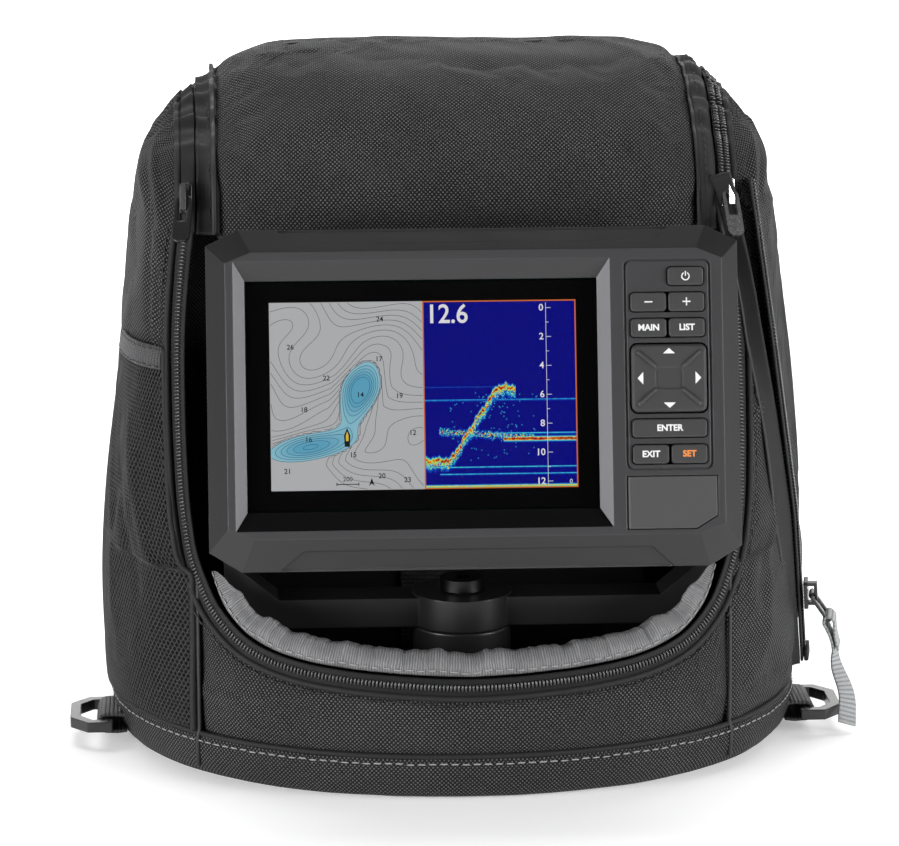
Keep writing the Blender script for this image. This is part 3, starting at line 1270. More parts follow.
# webbing along the pocket's mouth
G = np.zeros((7, 70, 3))
for i, z in enumerate(np.linspace(MESH_TOP - 7.4, MESH_TOP + 0.6, 7)):
    for j, t in enumerate(np.linspace(0, 1, 70)):
        q = mesh_point(t, min(z, MESH_TOP - 1.0))
        q[2] = z
        q[0] -= 0.7 * math.sin(math.pi * i / 6) * 0.6 + 0.4
        G[i, j] = q
o = grid("mesh_pocket_band", G, np.roll(arc_uv(G), 1, axis=2), MAT["web_black"], flip=True)
put(solid(o, 1.3, 0.0), "bag")
for zz, nm in ((MESH_TOP - 6.6, "low"), (MESH_TOP - 0.6, "high")):
    pts = np.array([mesh_point(t, min(zz, MESH_TOP - 1.0)) for t in np.linspace(0.01, 0.99, 90)])
    pts[:, 2] = zz
    nr = np.array([N(zz, s_at_y(zz, 0.0) * 0 + mesh_front_s(zz) + (s_at_y(zz, 61.0) - mesh_front_s(zz)) * t) * [-1, 1, 1] for t in np.linspace(0.01, 0.99, 90)])
    put(stitches(f"mesh_band_stitch_{nm}", pts + nr * 1.1, nr, MAT["thread_black"], 2.4, 1.0, 0.6, 0.5, 0.2), "bag")
# bound edge of the net beside the zip and at the rear seam
for t, nm in ((0.0, "front"), (1.0, "rear")):
    pts = np.array([mesh_point(t, z) for z in np.linspace(18, MESH_TOP, 90)])
    put(sweep(f"mesh_edge_{nm}", pts, circle_sec(1.3, 8), MAT["binding"]), "bag")

# ------------------------------------------------------------------ right pocket with its zip
def on_side(y, z, off):
    i, f = _row(z)
    a = float(mono_tab(HALF_W, np.array([z]))[0]) + off
    mid = float(mono_tab(MIDDLE, np.array([z]))[0])
    yf, yb = float(mono_tab(Y_FRONT, np.array([z]))[0]), float(mono_tab(Y_BACK, np.array([z]))[0])
    nf, nb = float(mono_tab(N_FRONT, np.array([z]))[0]), float(mono_tab(N_BACK, np.array([z]))[0])
    if y < mid:
        return a * (1 - min(1, (mid - y) / (mid - yf + off)) ** nf) ** (1 / nf)
    return a * (1 - min(1, (y - mid) / (yb - mid + off)) ** nb) ** (1 / nb)


OUTW = np.array([1.0, -0.22, 0.03])
OUTW /= np.linalg.norm(OUTW)
QP = np.array([(on_side(y, z, 5.2), y, z) for y, z in ((-12.0, 26.0), (-23.0, 84.0), (-25.0, 150.0), (-18.0, 208.0))])
zl = resample(QP, 260)
for _ in range(60):
    zl[1:-1] = zl[1:-1] * 0.5 + (zl[:-2] + zl[2:]) * 0.25
zl_n = np.tile(OUTW, (len(zl), 1))
put(sweep("pocket_zip_tape", zl, rrect_sec(9.0, 1.0, 0.45, -0.5), MAT["tape"], zl_n), "bag", ["pocket_zip_track"])
put(teeth("pocket_zip_coil", zl, zl_n, MAT["tooth"], 1.3, 3.0, 0.0, 0.95, 1.2, 0.95), "bag")


def zip_s(z):
    y = float(np.interp(z, zl[:, 2], zl[:, 1]))
    return s_at_y(z, y)


def zip_x(z):
    return float(np.interp(z, zl[:, 2], zl[:, 0]))


# fabric behind the zip: lies over the side panel and swells out of it
def rear_pocket_shape(v, u, z, s):
    e = math.exp(-(u / 0.06) ** 2)
    h0 = zip_x(z) - P(z, zip_s(z))[0]
    body = 3.4 * min(1.0, 10 * (1 - u)) ** 0.6 + 1.8 * math.sin(math.pi * u) ** 0.8 * math.sin(math.pi * v) ** 0.7
    d = max(1.2, h0 - 1.2) * e + body * (1 - e)
    d += 1.2 * fold(u, v, 0.22, 0.52, 1.45, 0.03, 0.22) - 1.0 * fold(u, v, 0.34, 0.60, 1.30, 0.03, 0.20)
    d += 1.1 * fold(u, v, 0.15, 0.30, 1.62, 0.03, 0.2) + 0.8 * noise1(np.array([s * 0.07 + z * 0.03]), 71)[0] * math.sin(math.pi * u)
    # lies flatter where the main slider passes
    d *= 1.0 - 0.8 * smoothstep((z - 195.0) / 8.0) * (1.0 - smoothstep((u - 0.14) / 0.2))
    return d * min(1.0, 0.25 + 6 * v) * min(1.0, 0.25 + 9 * (1 - v))


zs_p = np.linspace(19.5, 213, 90)
G = panel_grid(zs_p, lambda z: zip_s(z) + 3.6, lambda z: s_at_y(z, 61.5), 44, 0.0, rear_pocket_shape)
o = grid("zip_pocket_fabric", G, arc_uv(G), MAT["weave"])
soften(o, 0.012, 1.6, 2.0, 1.0)
put(solid(o, 1.6), "bag", ["zip_pocket"])


# smooth facing in front of the zip
def facing(t, z):
    w = 4.0 + 5.5 * math.exp(-((z - 84) / 34.0) ** 2)
    s1 = zip_s(z) - 3.2
    s0 = s1 - w
    s = s0 + (s1 - s0) * t
    h0 = max(1.2, zip_x(z) - P(z, zip_s(z))[0] - 0.8)
    d = 0.9 + (h0 - 0.9) * (t ** 1.3)
    return P(z, s) + N(z, s) * d


G = np.zeros((90, 9, 3))
for i, z in enumerate(np.linspace(24, 209, 90)):
    for j in range(9):
        G[i, j] = facing(j / 8, z)
o = grid("zip_pocket_facing", G, arc_uv(G), MAT["binding"])
put(solid(o, 1.2), "bag")
pts = G[:, 0]
put(sweep("zip_pocket_facing_seam", pts, circle_sec(0.8, 8), MAT["thread_black"]), "bag")
pts = np.array([P(z, s_at_y(z, 61.3)) + N(z, s_at_y(z, 61.3)) * 1.6 for z in np.linspace(19.5, 213, 90)])
put(sweep("zip_pocket_rear_edge", pts, circle_sec(1.5, 8), MAT["binding"]), "bag")
# small fabric stop at the zip's lower end
put(sweep("pocket_zip_stop", zl[:7] + OUTW * 1.2, rrect_sec(8.4, 1.6, 0.5, -0.4), MAT["binding"], zl_n[:7]), "bag")

# ------------------------------------------------------------------ webbing: pocket pull, ring loops, battery strap
ZX = (QP[1] - QP[0]) / np.linalg.norm(QP[1] - QP[0])
ZZ = OUTW - ZX * OUTW.dot(ZX)
ZZ /= np.linalg.norm(ZZ)
SO = np.array([138.96, -17.20, 41.82])
sd = ZX * -0.984 + ZZ * 0.18
sd /= np.linalg.norm(sd)
sy = np.cross(ZZ, ZX)
sz = np.cross(sd, sy)
s_len = (SO[2] - 4.2) / abs(sd[2])
path = [SO + sd * 3.0 + sz * -0.9 + sd * 9, SO + sd * 7 + sz * -0.95, SO + sd * 3.2 + sz * -1.5, SO + sd * 0.2 + sz * -2.0,
        SO - sd * 1.7 + sz * -1.0, SO - sd * 2.05, SO - sd * 1.7 + sz * 1.0, SO + sd * 0.4 + sz * 1.9, SO + sd * 3.4 + sz * 1.2, SO + sd * 8 + sz * 0.55]
fwd = np.array([0.0, -1.0, 0.0])
for k, t in enumerate(np.linspace(12, s_len, 9)):
    g_ = (k / 8.0) ** 1.5
    path.append(SO + sd * t + sz * (0.5 + 0.9 * math.sin(k * 0.9)) + fwd * 17.0 * g_ - np.array([3.5, 0, 0]) * g_)
path = smooth_poly(path, 110)
t_ = np.gradient(path, axis=0)
t_ /= np.linalg.norm(t_, axis=1)[:, None]
acc = np.linspace(0, 1, len(path))
tw = np.clip((acc - 0.40) / 0.5, 0, 1)[:, None] * 0.9
side_ = np.tile(sy, (len(path), 1)) * (1 - tw) + np.array([-0.85, -0.50, 0.0]) * -1.0 * np.sign(sy.dot([0.85, 0.5, 0])) * tw
nrm_ = np.cross(t_, side_)
put(sweep("pocket_pull_webbing", path, rrect_sec(8.0, 1.0, 0.45, -0.5), MAT["web_grey"], nrm_), "strap", ["pull_strap"])
bx = []
for a, b in (((13, -3.0), (13, 3.0)), ((18.5, -3.0), (18.5, 3.0)), ((13, -3.0), (18.5, -3.0)), ((13, 3.0), (18.5, 3.0))):
    bx.append(np.array([SO + sd * (a[0] + (b[0] - a[0]) * t) + sy * (a[1] + (b[1] - a[1]) * t) + sz * 1.45 for t in np.linspace(0, 1, 6)]))
for i, q in enumerate(bx):
    put(stitches(f"pocket_pull_stitch_{i}", q, np.tile(sz, (6, 1)), MAT["thread_grey"], 1.2, 0.5, 0.4, 0.3, 0.0), "strap")

for sgn, nm in ((-1, "left"), (1, "right")):
    cx, cy, cz = sgn * 129.4, -14.0, 8.4
    inn = np.array([-sgn, 0, 0.0])
    pts = [np.array([cx, cy, cz]) + inn * 7.2 + np.array([0, 0, 2.9]), np.array([cx, cy, cz]) + inn * 4.0 + np.array([0, 0, 3.3])]
    for a in np.linspace(95, -95, 15):
        r = math.radians(a)
        pts.append(np.array([cx + sgn * 3.15 * math.cos(r), cy, cz + 3.15 * math.sin(r)]))
    pts += [np.array([cx, cy, cz]) + inn * 4.0 + np.array([0, 0, -3.3]), np.array([cx, cy, cz]) + inn * 7.2 + np.array([0, 0, -2.9])]
    path = resample(pts, 50)
    t_ = np.gradient(path, axis=0)
    t_ /= np.linalg.norm(t_, axis=1)[:, None]
    nn_ = np.cross(t_, np.tile(np.array([0, 1.0, 0]), (50, 1))) * -sgn
    o = sweep(f"ring_loop_{nm}", path, rrect_sec(23.0, 1.5, 0.6, -0.75), MAT["web_black"], nn_)
    put(o, "bag", ["strap_loops"] if sgn > 0 else [])
    st = np.array([[cx + inn[0] * 4.6, cy + q, cz + 4.0] for q in np.linspace(-10, 10, 30)])
    put(stitches(f"ring_loop_stitch_{nm}", st, np.tile([0, 0, 1.0], (30, 1)), MAT["thread_grey"], 2.2, 1.0, 0.6, 0.5, 0.0), "bag")


def web_solid(name, light, dark):
    m = M(name)
    ob = m.obj()
    x, y, z = m.xyz(ob)
    a = m.math("ABSOLUTE", m.math("SINE", m.math("MULTIPLY", m.math("ADD", y, z), math.pi / 0.0016)))
    b = m.math("ABSOLUTE", m.math("SINE", m.math("MULTIPLY", x, math.pi / 0.0009)))
    h = m.math("ADD", a, m.math("MULTIPLY", b, 0.4))
    g = m.noise(ob, 900.0, 3.0)
    c = m.ramp(m.math("MULTIPLY", h, m.math("ADD", 0.4, m.math("MULTIPLY", g, 0.6)), clamp=True), [(0.0, dark), (1.0, light)])
    return m.done(c, 0.6, m.bump(h, 0.8, 0.0003))


MAT["web_solid"] = web_solid("battery_webbing", (0.07, 0.07, 0.072), (0.01, 0.01, 0.01))
dress("battery_strap", "web_solid")

# ------------------------------------------------------------------ head: legends and the lit screen
TILT = math.radians(15)
HC = (2.5, -86.0, 143.4)
S15, C15 = math.sin(TILT), math.cos(TILT)


def H(u, v, w):
    return (HC[0] + u, HC[1] + v * S15 - w * C15, HC[2] + v * C15 + w * S15)


def flat(name, quads, w, mat, body="head", thick=0.03):
    """Thin closed plates on the head from (u, v) polygons."""
    V, F = [], []
    for q in quads:
        k = len(q)
        b = len(V)
        for ww in (w, w - thick):
            V += [H(u, v, ww) for u, v in q]
        F.append(tuple(range(b, b + k)))
        F.append(tuple(range(b + k, b + 2 * k))[::-1])
        for i in range(k):
            j = (i + 1) % k
            F.append((b + j, b + i, b + k + i, b + k + j))
    o = add_mesh(name, V, F, mat, smooth=False)
    return put(o, body)


def text(name, s, u, v, size, w, mat, body="head", align="CENTER", bold=0.0, squeeze=1.0, spacing=1.0):
    cu = bpy.data.curves.new(name + "_c", "FONT")
    cu.body, cu.size, cu.align_x, cu.align_y = s, size, align, "CENTER"
    cu.extrude, cu.offset, cu.resolution_u = 0.03, bold, 4
    cu.space_character = spacing
    tmp = bpy.data.objects.new(name + "_t", cu)
    bpy.context.scene.collection.objects.link(tmp)
    dg = bpy.context.evaluated_depsgraph_get()
    me = bpy.data.meshes.new_from_object(tmp.evaluated_get(dg))
    bpy.data.objects.remove(tmp)
    bpy.data.curves.remove(cu)
    me.name = name
    for vv in me.vertices:
        p = H(u + vv.co.x * squeeze, v + vv.co.y, w + vv.co.z)
        vv.co = Vector(p) * 0.001
    me.materials.clear()
    me.materials.append(mat)
    o = bpy.data.objects.new(name, me)
    bpy.context.scene.collection.objects.link(o)
    return put(o, body)


def rect(u0, u1, v0, v1):
    return [(u0, v0), (u1, v0), (u1, v1), (u0, v1)]


KT = 1.04     # height of the key tops above the bezel face
LG, LO = MAT["legend"], MAT["legend_orange"]


def arc_quads(cx, cy, r, w, a0, a1, n=20):
    out = []
    for i in range(n):
        p, q = math.radians(a0 + (a1 - a0) * i / n), math.radians(a0 + (a1 - a0) * (i + 1) / n)
        out.append([(cx + (r - w) * math.cos(p), cy + (r - w) * math.sin(p)), (cx + r * math.cos(p), cy + r * math.sin(p)),
                    (cx + r * math.cos(q), cy + r * math.sin(q)), (cx + (r - w) * math.cos(q), cy + (r - w) * math.sin(q))])
    return out


flat("legend_power", arc_quads(74.2, 41.4, 1.5, 0.4, 115, 425) + [rect(74.0, 74.4, 41.5, 43.2)], KT, LG, "key_power")
flat("legend_minus", [rect(59.6, 62.4, 32.3, 32.75)], KT, LG, "key_minus")
flat("legend_plus", [rect(73.0, 75.8, 32.3, 32.75), rect(74.18, 74.62, 32.75, 33.95), rect(74.18, 74.62, 31.1, 32.3)], KT, LG, "key_plus")
for key, word, u, v, mat, body in (("home", "MAIN", 60.95, 23.45, LG, "key_home"), ("menu", "LIST", 74.4, 23.45, LG, "key_menu"),
                                   ("select", "ENTER", 67.8, -11.8, LG, "key_select"), ("back", "EXIT", 61.05, -20.9, LG, "key_back"),
                                   ("mark", "SET", 74.6, -20.9, LO, "key_mark")):
    text("legend_" + key, word, u, v, 3.05, KT, mat, body, bold=0.10)
cu_, cv_ = 67.9, 5.75
tri = [[(cu_ - 2.1, cv_ + 8.6), (cu_ + 2.1, cv_ + 8.6), (cu_, cv_ + 10.5)], [(cu_ + 2.1, cv_ - 8.6), (cu_ - 2.1, cv_ - 8.6), (cu_, cv_ - 10.5)],
       [(cu_ - 9.2, cv_ + 2.2), (cu_ - 9.2, cv_ - 2.2), (cu_ - 11.2, cv_)][::-1], [(cu_ + 9.2, cv_ - 2.2), (cu_ + 9.2, cv_ + 2.2), (cu_ + 11.2, cv_)][::-1]]
tri = [t if (t[1][0] - t[0][0]) * (t[2][1] - t[0][1]) - (t[1][1] - t[0][1]) * (t[2][0] - t[0][0]) > 0 else t[::-1] for t in tri]
flat("legend_arrows", tri, 1.24, LG, "dpad")

# raised corner ridges of the direction pad
def ridge(name, p, q, w0, r, mat, body):
    path = [np.array(H(p[0] + (q[0] - p[0]) * t, p[1] + (q[1] - p[1]) * t, w0 + 0.35 * math.sin(math.pi * t))) for t in np.linspace(0, 1, 9)]
    nrm = [np.array([0, -C15, S15])] * 9
    return put(sweep(name, path, circle_sec(r, 8, 1.0, 0.7), mat, nrm), body)


for i, (sx, sy) in enumerate(((1, 1), (-1, 1), (-1, -1), (1, -1))):
    ridge(f"dpad_ridge_{i}", (cu_ + sx * 4.7, cv_ + sy * 3.8), (cu_ + sx * 11.0, cv_ + sy * 9.4), 1.15, 0.75, MAT["key"], "dpad")

# screen, 108 x 66 mm, chart on the left and echo picture on the right
SU0, SU1, SV0, SV1 = -71.8, 36.0, -31.8, 34.2
SM = -18.0
WS = -6.56
rs = np.random.default_rng(4)


def vcol_grid(name, u0, u1, v0, v1, nu, nv, colour, w, gain=1.0):
    """Lit picture made of small faces, one colour each."""
    V, F, C = [], [], []
    us, vs = np.linspace(u0, u1, nu + 1), np.linspace(v0, v1, nv + 1)
    for v in vs:
        for u in us:
            V.append(H(u, v, w))
    for i in range(nv):
        for j in range(nu):
            a = i * (nu + 1) + j
            F.append((a, a + 1, a + nu + 2, a + nu + 1))
    b = len(V)
    V += [H(u0, v0, w - 0.03), H(u1, v0, w - 0.03), H(u1, v1, w - 0.03), H(u0, v1, w - 0.03)]
    F.append((b + 3, b + 2, b + 1, b))
    bottom = [j for j in range(nu + 1)]
    top = [nv * (nu + 1) + j for j in range(nu + 1)]
    left = [i * (nu + 1) for i in range(nv + 1)]
    right = [i * (nu + 1) + nu for i in range(nv + 1)]
    F.append(tuple(bottom[::-1] + [b, b + 1]))
    F.append(tuple(top + [b + 2, b + 3]))
    F.append(tuple(left + [b + 3, b]))
    F.append(tuple(right[::-1] + [b + 1, b + 2]))
    o = add_mesh(name, V, F, None, smooth=False)
    me = o.data
    att = me.color_attributes.new("lit", "FLOAT_COLOR", "CORNER")
    fc = np.zeros((len(me.polygons), 4), np.float32)
    fc[:, 3] = 1
    grid_c = colour((us[:-1] + us[1:]) / 2, (vs[:-1] + vs[1:]) / 2)
    fc[:nu * nv, :3] = grid_c.reshape(-1, 3)
    lt = np.empty(len(me.polygons), int)
    me.polygons.foreach_get("loop_total", lt)
    att.data.foreach_set("color", np.repeat(fc, lt, axis=0).ravel())
    m = M(name + "_lit")
    a = m.n("ShaderNodeVertexColor")
    a.layer_name = "lit"
    m.link(a.outputs["Color"], m.b.inputs["Emission Color"])
    m.val("Emission Strength", gain)
    m.val("Base Color", (0, 0, 0, 1))
    m.val("Roughness", 0.6)
    m.val("Specular IOR Level", 0.1)
    me.materials.append(m.m)
    return put(o, "head")


def srgb(c):
    c = np.asarray(c, float) / 255.0
    return np.where(c <= 0.04045, c / 12.92, ((c + 0.055) / 1.055) ** 2.4)


def lake(u, v):
    """Depth field of an invented bay: negative on land, growing in the water."""
    a = (u + 52) / 17.0
    b = (v + 8) / 13.0
    arm = np.exp(-((u - (-43 + 0.30 * (v + 6))) / 6.0) ** 2 - ((v - 2) / 11.5) ** 2)
    arm2 = np.exp(-((u + 58) / 15.0) ** 2 - ((v - (-16.5 + 0.16 * (u + 58))) / 4.8) ** 2)
    arm3 = np.exp(-((u + 40) / 7.0) ** 2 - ((v - 4.5) / 5.5) ** 2)
    return arm * 1.0 + arm2 * 1.05 + 0.35 * arm3 - 0.42


def land(u, v):
    return (0.055 * v + 0.022 * u + 0.55 * np.sin(u * 0.085 + 0.7) * np.cos(v * 0.07 - 0.6) + 0.30 * np.sin(u * 0.17 - v * 0.12)
            + 0.20 * np.cos(v * 0.23 + u * 0.05) - 1.15 * np.maximum(lake(u, v) + 0.34, 0) ** 0.9)


def chart_colour(us, vs):
    uu, vv = np.meshgrid(us, vs)
    d = lake(uu, vv)
    out = np.zeros(uu.shape + (3,))
    grey = srgb((186, 187, 189))
    w1, w2 = srgb((146, 199, 214)), srgb((96, 168, 198))
    out[:] = grey
    k = (d > 0.0)
    f = np.clip(d / 0.55, 0, 1)[..., None]
    out[k] = (w1 * (1 - f) + w2 * f)[k]
    return out


vcol_grid("chart_ground", SU0, SM, SV0, SV1, 150, 184, chart_colour, WS, 0.92)


def contours(field, levels, u0, u1, v0, v1, nu, nv):
    """Marching squares: short segments where the field crosses each level."""
    us, vs = np.linspace(u0, u1, nu), np.linspace(v0, v1, nv)
    uu, vv = np.meshgrid(us, vs)
    f = field(uu, vv)
    segs = []
    for lv in levels:
        g = f - lv
        for i in range(nv - 1):
            row = g[i:i + 2]
            sign = row > 0
            mixed = np.where(~((sign[0, :-1] == sign[0, 1:]) & (sign[1, :-1] == sign[1, 1:]) & (sign[0, :-1] == sign[1, :-1])))[0]
            for j in mixed:
                a, b, c, d = g[i, j], g[i, j + 1], g[i + 1, j + 1], g[i + 1, j]
                pts = []
                if (a > 0) != (b > 0): pts.append((us[j] + (us[j + 1] - us[j]) * a / (a - b), vs[i]))
                if (b > 0) != (c > 0): pts.append((us[j + 1], vs[i] + (vs[i + 1] - vs[i]) * b / (b - c)))
                if (c > 0) != (d > 0): pts.append((us[j] + (us[j + 1] - us[j]) * d / (d - c), vs[i + 1]))
                if (d > 0) != (a > 0): pts.append((us[j], vs[i] + (vs[i + 1] - vs[i]) * a / (a - d)))
                for q in range(0, len(pts) - 1, 2):
                    segs.append((pts[q], pts[q + 1]))
    return segs


def line_quads(segs, width):
    out = []
    for (x0, y0), (x1, y1) in segs:
        dx, dy = x1 - x0, y1 - y0
        ln = math.hypot(dx, dy)
        if ln < 1e-4:
            continue
        px, py = -dy / ln * width / 2, dx / ln * width / 2
        ex, ey = dx / ln * width * 0.3, dy / ln * width * 0.3
        out.append([(x0 - ex - px, y0 - ey - py), (x1 + ex - px, y1 + ey - py), (x1 + ex + px, y1 + ey + py), (x0 - ex + px, y0 - ey + py)])
    return out


ink = glow("chart_ink", tuple(srgb((84, 88, 92))), 0.9)
ink2 = glow("chart_ink_water", tuple(srgb((52, 104, 130))), 0.9)
dark = glow("chart_figures", tuple(srgb((22, 24, 30))), 0.9)
land_seg = contours(lambda u, v: np.where(lake(u, v) > -0.02, -9.0, land(u, v)), np.arange(-2.6, 3.4, 0.26), SU0 + 0.3, SM - 0.3, SV0 + 0.3, SV1 - 0.3, 90, 110)
land_seg = [s for s in land_seg if lake(np.array(s[0][0]), np.array(s[0][1])) < -0.03]
flat("chart_contours", line_quads(land_seg, 0.16), WS + 0.05, ink)
lake_seg = contours(lake, [0.0, 0.12, 0.24, 0.36, 0.48, 0.6], SU0 + 0.3, SM - 0.3, SV0 + 0.3, SV1 - 0.3, 90, 110)
flat("chart_depth_lines", line_quads(lake_seg, 0.18), WS + 0.06, ink2)
for i, (s, u, v) in enumerate((("24", -33, 28), ("26", -64.5, 18.5), ("22", -52, 7.5), ("18", -60, -3.5), ("17", -33.5, 14), ("19", -26.5, 1), ("14", -40.2, 1.5),
                               ("16", -58.5, -14), ("12", -22, -12), ("15", -43, -19.5), ("20", -33, -27), ("23", -24, -28.5), ("21", -66, -25))):
    text(f"chart_figure_{i}", s, u, v, 2.5, WS + 0.08, dark, bold=0.03)
flat("chart_scale_bar", [rect(-49, -41, -29.9, -29.6), rect(-49, -48.7, -30.3, -29.2), rect(-41.3, -41, -30.3, -29.2)], WS + 0.08, dark)
text("chart_scale_figure", "200", -45, -28.0, 2.3, WS + 0.08, dark)
flat("chart_north", [[(-37.6, -30.4), (-36.6, -29.6), (-35.6, -30.4), (-36.6, -27.6)]], WS + 0.08, dark)
flat("chart_boat", [[(-45.9, -16.6), (-44.1, -16.6), (-43.9, -12.6), (-45.0, -10.0), (-46.1, -12.6)]], WS + 0.10, dark)
flat("chart_boat_deck", [[(-45.45, -14.6), (-44.55, -14.6), (-44.5, -12.7), (-45.0, -11.2), (-45.5, -12.7)]], WS + 0.13, glow("boat_deck", tuple(srgb((230, 190, 60))), 0.9))

PAL = [(0.0, (0, 0, 122)), (0.16, (0, 6, 150)), (0.34, (10, 90, 205)), (0.5, (60, 200, 225)), (0.62, (120, 225, 120)), (0.74, (240, 225, 60)), (0.86, (225, 70, 20)), (1.0, (120, 8, 8))]


def palette(t):
    x = np.array([p[0] for p in PAL])
    c = np.array([srgb(p[1]) for p in PAL])
    return np.stack([np.interp(t, x, c[:, k]) for k in range(3)], -1)


def echo_colour(us, vs):
    uu, vv = np.meshgrid(us, vs)
    r = np.random.default_rng(8)
    n1 = r.normal(0, 1, uu.shape)
    n2 = (n1 + np.roll(n1, 1, 0) + np.roll(n1, 1, 1) + np.roll(n1, -1, 0) + np.roll(n1, -1, 1)) / 5
    t = 0.05 + 0.035 * n2
    u0 = SM
    x = (uu - u0) / (SU1 - u0)
    # bottom trace: low on the left, climbing a slope, then lost in the hump
    wig = 0.5 * np.sin(uu * 1.3) + 0.35 * np.sin(uu * 2.9 + 1) + 0.3 * np.sin(uu * 5.3)
    b = np.where(x < 0.17, -22.0 + 0.6 * wig, np.where(x < 0.48, -22.0 + (x - 0.17) / 0.31 * 25.5 + 0.9 * wig, 3.4 + 0.9 * wig))
    near = np.exp(-((vv - b) / 1.25) ** 2) * (x < 0.60)
    t = np.maximum(t, near * (0.78 + 0.22 * n2 + 0.12))
    fringe = np.exp(-((vv - b + 1.2) / 2.2) ** 2) * (x < 0.60)
    t = np.maximum(t, fringe * (0.55 + 0.35 * n1 * 0.6))
    # arches under the slope
    b2 = -12.2 - 4.0 * (x - 0.2)
    a2 = np.exp(-((vv - b2) / 1.4) ** 2) * ((x > 0.10) & (x < 0.72))
    t = np.maximum(t, a2 * (0.45 + 0.34 * n1))
    # clean horizontal returns
    for c, wd, top, x0, x1 in ((-0.8, 0.35, 0.42, 0.0, 1.0), (3.8, 0.25, 0.24, 0.0, 0.6), (-14.6, 0.9, 0.97, 0.52, 1.0), (-12.6, 0.35, 0.5, 0.45, 1.0),
                               (-24.4, 0.3, 0.50, 0.0, 1.0), (-26.8, 0.35, 0.46, 0.1, 1.0), (-31.0, 0.55, 0.75, 0.0, 1.0)):
        t = np.maximum(t, np.exp(-((vv - c) / wd) ** 2) * top * ((x >= x0) & (x <= x1)) * (1 + 0.12 * n2))
    spots = (r.random(uu.shape) > 0.985) & (vv < 2) & (vv > -22) & (x > 0.15) & (x < 0.75)
    t = np.where(spots, 0.45, t)
    return palette(np.clip(t, 0, 1))


vcol_grid("echo_picture", SM, SU1, SV0, SV1, 170, 190, echo_colour, WS, 0.95)
orange = glow("echo_frame", tuple(srgb((214, 110, 40))), 0.9)
fw = 0.42
flat("echo_border", [rect(SM, SU1, SV1 - fw, SV1), rect(SM, SU1, SV0, SV0 + fw), rect(SM, SM + fw, SV0 + fw, SV1 - fw), rect(SU1 - fw, SU1, SV0 + fw, SV1 - fw)], WS + 0.10, orange)
white = glow("echo_figures", tuple(srgb((232, 232, 232))), 0.9)
text("echo_depth", "12.6", -16.9, 29.3, 9.3, WS + 0.12, white, align="LEFT", bold=0.12, squeeze=0.94)
for i, v in enumerate(np.linspace(31.4, -29.6, 7)):
    text(f"echo_scale_{i}", str(i * 2), 24.6, v, 3.3, WS + 0.12, white, align="RIGHT", bold=0.04)
flat("echo_scale_line", [rect(25.35, 25.5, SV0 + 1, SV1 - 1)] + [rect(25.5, 26.4 if k % 2 else 27.2, v - 0.09, v + 0.09) for k, v in enumerate(np.linspace(31.4, -29.6, 13))], WS + 0.11, white)
text("echo_range", "0", 33.5, -29.8, 2.2, WS + 0.12, white)

# printed border that frames the lit area, just above the display module
flat("screen_surround", [rect(-79.8, 42.9, SV1, 41.1), rect(-79.8, 42.9, -38.8, SV0), rect(-79.8, SU0, SV0, SV1), rect(SU1, 42.9, SV0, SV1)], -6.53, MAT["border"], thick=0.05)

run_cloth()

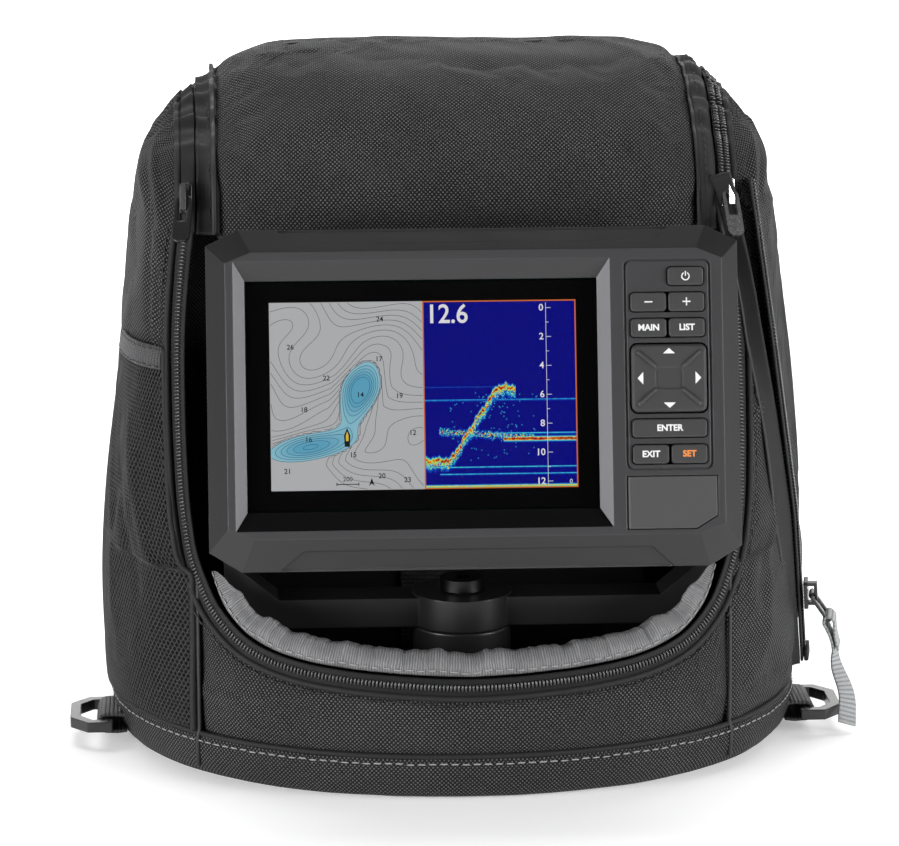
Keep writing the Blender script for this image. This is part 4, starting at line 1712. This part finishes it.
# ------------------------------------------------------------------ stage, light, camera
def studio():
    m = M("floor_white")
    ob = m.obj()
    g = m.noise(ob, 3.0, 2.0)
    c = m.mix(m.math("MULTIPLY", g, 0.2), (0.90, 0.90, 0.90), (0.87, 0.87, 0.87))
    m.val("Roughness", 0.9)
    m.val("Specular IOR Level", 0.0)
    m.link(c, m.b.inputs["Base Color"])
    m.link(c, m.b.inputs["Emission Color"])
    pl = m.n("ShaderNodeVectorMath", operation="LENGTH")
    m.link(ob, pl.inputs[0])
    far = m.math("MULTIPLY", m.math("SUBTRACT", pl.outputs["Value"], 0.7), 1.1, clamp=True)
    ray = m.n("ShaderNodeLightPath").outputs["Is Camera Ray"]
    m.link(m.math("ADD", 0.34, m.math("MULTIPLY", m.math("MULTIPLY", far, ray), 1.0)), m.b.inputs["Emission Strength"])
    # seen from behind, the sweep lets the camera look through
    m.link(m.math("SUBTRACT", 1.0, m.n("ShaderNodeNewGeometry").outputs["Backfacing"]), m.b.inputs["Alpha"])
    prof = [(-6.0, 0.0), (-1.5, 0.0), (0.9, 0.0)] + [(0.9 + 0.9 * math.sin(a), 0.9 - 0.9 * math.cos(a)) for a in np.linspace(0.1, math.pi / 2, 14)] + [(1.8, 4.5)]
    V, F = [], []
    for x in (-6, 6):
        for y, z in prof:
            V.append((x, y, z))
    k = len(prof)
    for i in range(k - 1):
        F.append((i, k + i, k + i + 1, i + 1))
    o = add_mesh("floor_sweep", V, F, m.m, scale=1.0)
    w = bpy.data.worlds.new("w")
    bpy.context.scene.world = w
    w.use_nodes = True
    nt = w.node_tree
    bg = nt.nodes["Background"]
    tc = nt.nodes.new("ShaderNodeTexCoord")
    sp = nt.nodes.new("ShaderNodeSeparateXYZ")
    rp = nt.nodes.new("ShaderNodeValToRGB")
    nt.links.new(tc.outputs["Generated"], sp.inputs[0])
    nt.links.new(sp.outputs[2], rp.inputs[0])
    rp.color_ramp.elements[0].position, rp.color_ramp.elements[0].color = 0.05, (0.50, 0.50, 0.50, 1)
    rp.color_ramp.elements[1].position, rp.color_ramp.elements[1].color = 0.70, (0.07, 0.07, 0.07, 1)
    fr = nt.nodes.new("ShaderNodeMapRange")
    fr.inputs["From Min"].default_value, fr.inputs["From Max"].default_value = -0.92, -0.35
    fr.inputs["To Min"].default_value, fr.inputs["To Max"].default_value = 0.10, 1.0
    nt.links.new(sp.outputs[1], fr.inputs["Value"])
    lp = nt.nodes.new("ShaderNodeLightPath")
    wc = nt.nodes.new("ShaderNodeMix")
    wc.data_type = "RGBA"
    nt.links.new(lp.outputs["Is Camera Ray"], wc.inputs[0])
    nt.links.new(rp.outputs[0], wc.inputs[6])
    wc.inputs[7].default_value = (1, 1, 1, 1)
    ws = nt.nodes.new("ShaderNodeMix")
    nt.links.new(lp.outputs["Is Camera Ray"], ws.inputs[0])
    nt.links.new(fr.outputs[0], ws.inputs[2])
    ws.inputs[3].default_value = 1.0
    nt.links.new(ws.outputs[0], bg.inputs[1])
    nt.links.new(wc.outputs[2], bg.inputs[0])

    def area(name, loc, target, size, power, sy=None):
        l = bpy.data.lights.new(name, "AREA")
        l.energy, l.size = power, size
        if sy:
            l.shape, l.size_y = "RECTANGLE", sy
        o = bpy.data.objects.new(name, l)
        bpy.context.scene.collection.objects.link(o)
        o.location = loc
        d = Vector(target) - Vector(loc)
        o.rotation_euler = d.to_track_quat("-Z", "Y").to_euler()

    area("top_box", (0.0, 0.45, 1.5), (0, 0.1, 0.1), 1.4, 3, 0.9)
    area("side_left", (-1.20, -0.80, 0.34), (0, -0.05, 0.14), 0.6, 17, 0.6)
    area("side_right", (1.25, -0.70, 0.36), (0, -0.05, 0.14), 0.6, 18, 0.6)
    area("front_low", (-0.75, -1.3, 0.16), (0, 0, 0.10), 0.5, 3.2, 0.3)
    area("back_wash", (0.0, 0.7, 1.7), (0, 1.8, 0.4), 2.2, 42, 1.0)


studio()


def camera():
    az, el, D = math.radians(-3.5), math.radians(13.0), 1.5
    C = Vector((HC[0], HC[1], HC[2])) * 0.001
    f = D / 0.0003495
    back = Vector((math.sin(az) * math.cos(el), -math.cos(az) * math.cos(el), math.sin(el)))
    right = Vector((math.cos(az), math.sin(az), 0))
    up = back.cross(right)
    u0, v0 = (476 - 449.5) / f, -(397 - 423) / f
    loc = C - (right * u0 + up * v0 - back) * D
    cam = bpy.data.cameras.new("cam")
    cam.sensor_width, cam.lens, cam.clip_end, cam.clip_start = 36, f * 36 / 899, 20, 0.05
    o = bpy.data.objects.new("cam", cam)
    bpy.context.scene.collection.objects.link(o)
    m = Matrix((right, up, back)).transposed().to_4x4()
    m.translation = loc
    o.matrix_world = m
    bpy.context.scene.camera = o


camera()
bpy.context.scene.view_settings.view_transform = "Standard"
bpy.context.view_layer.update()
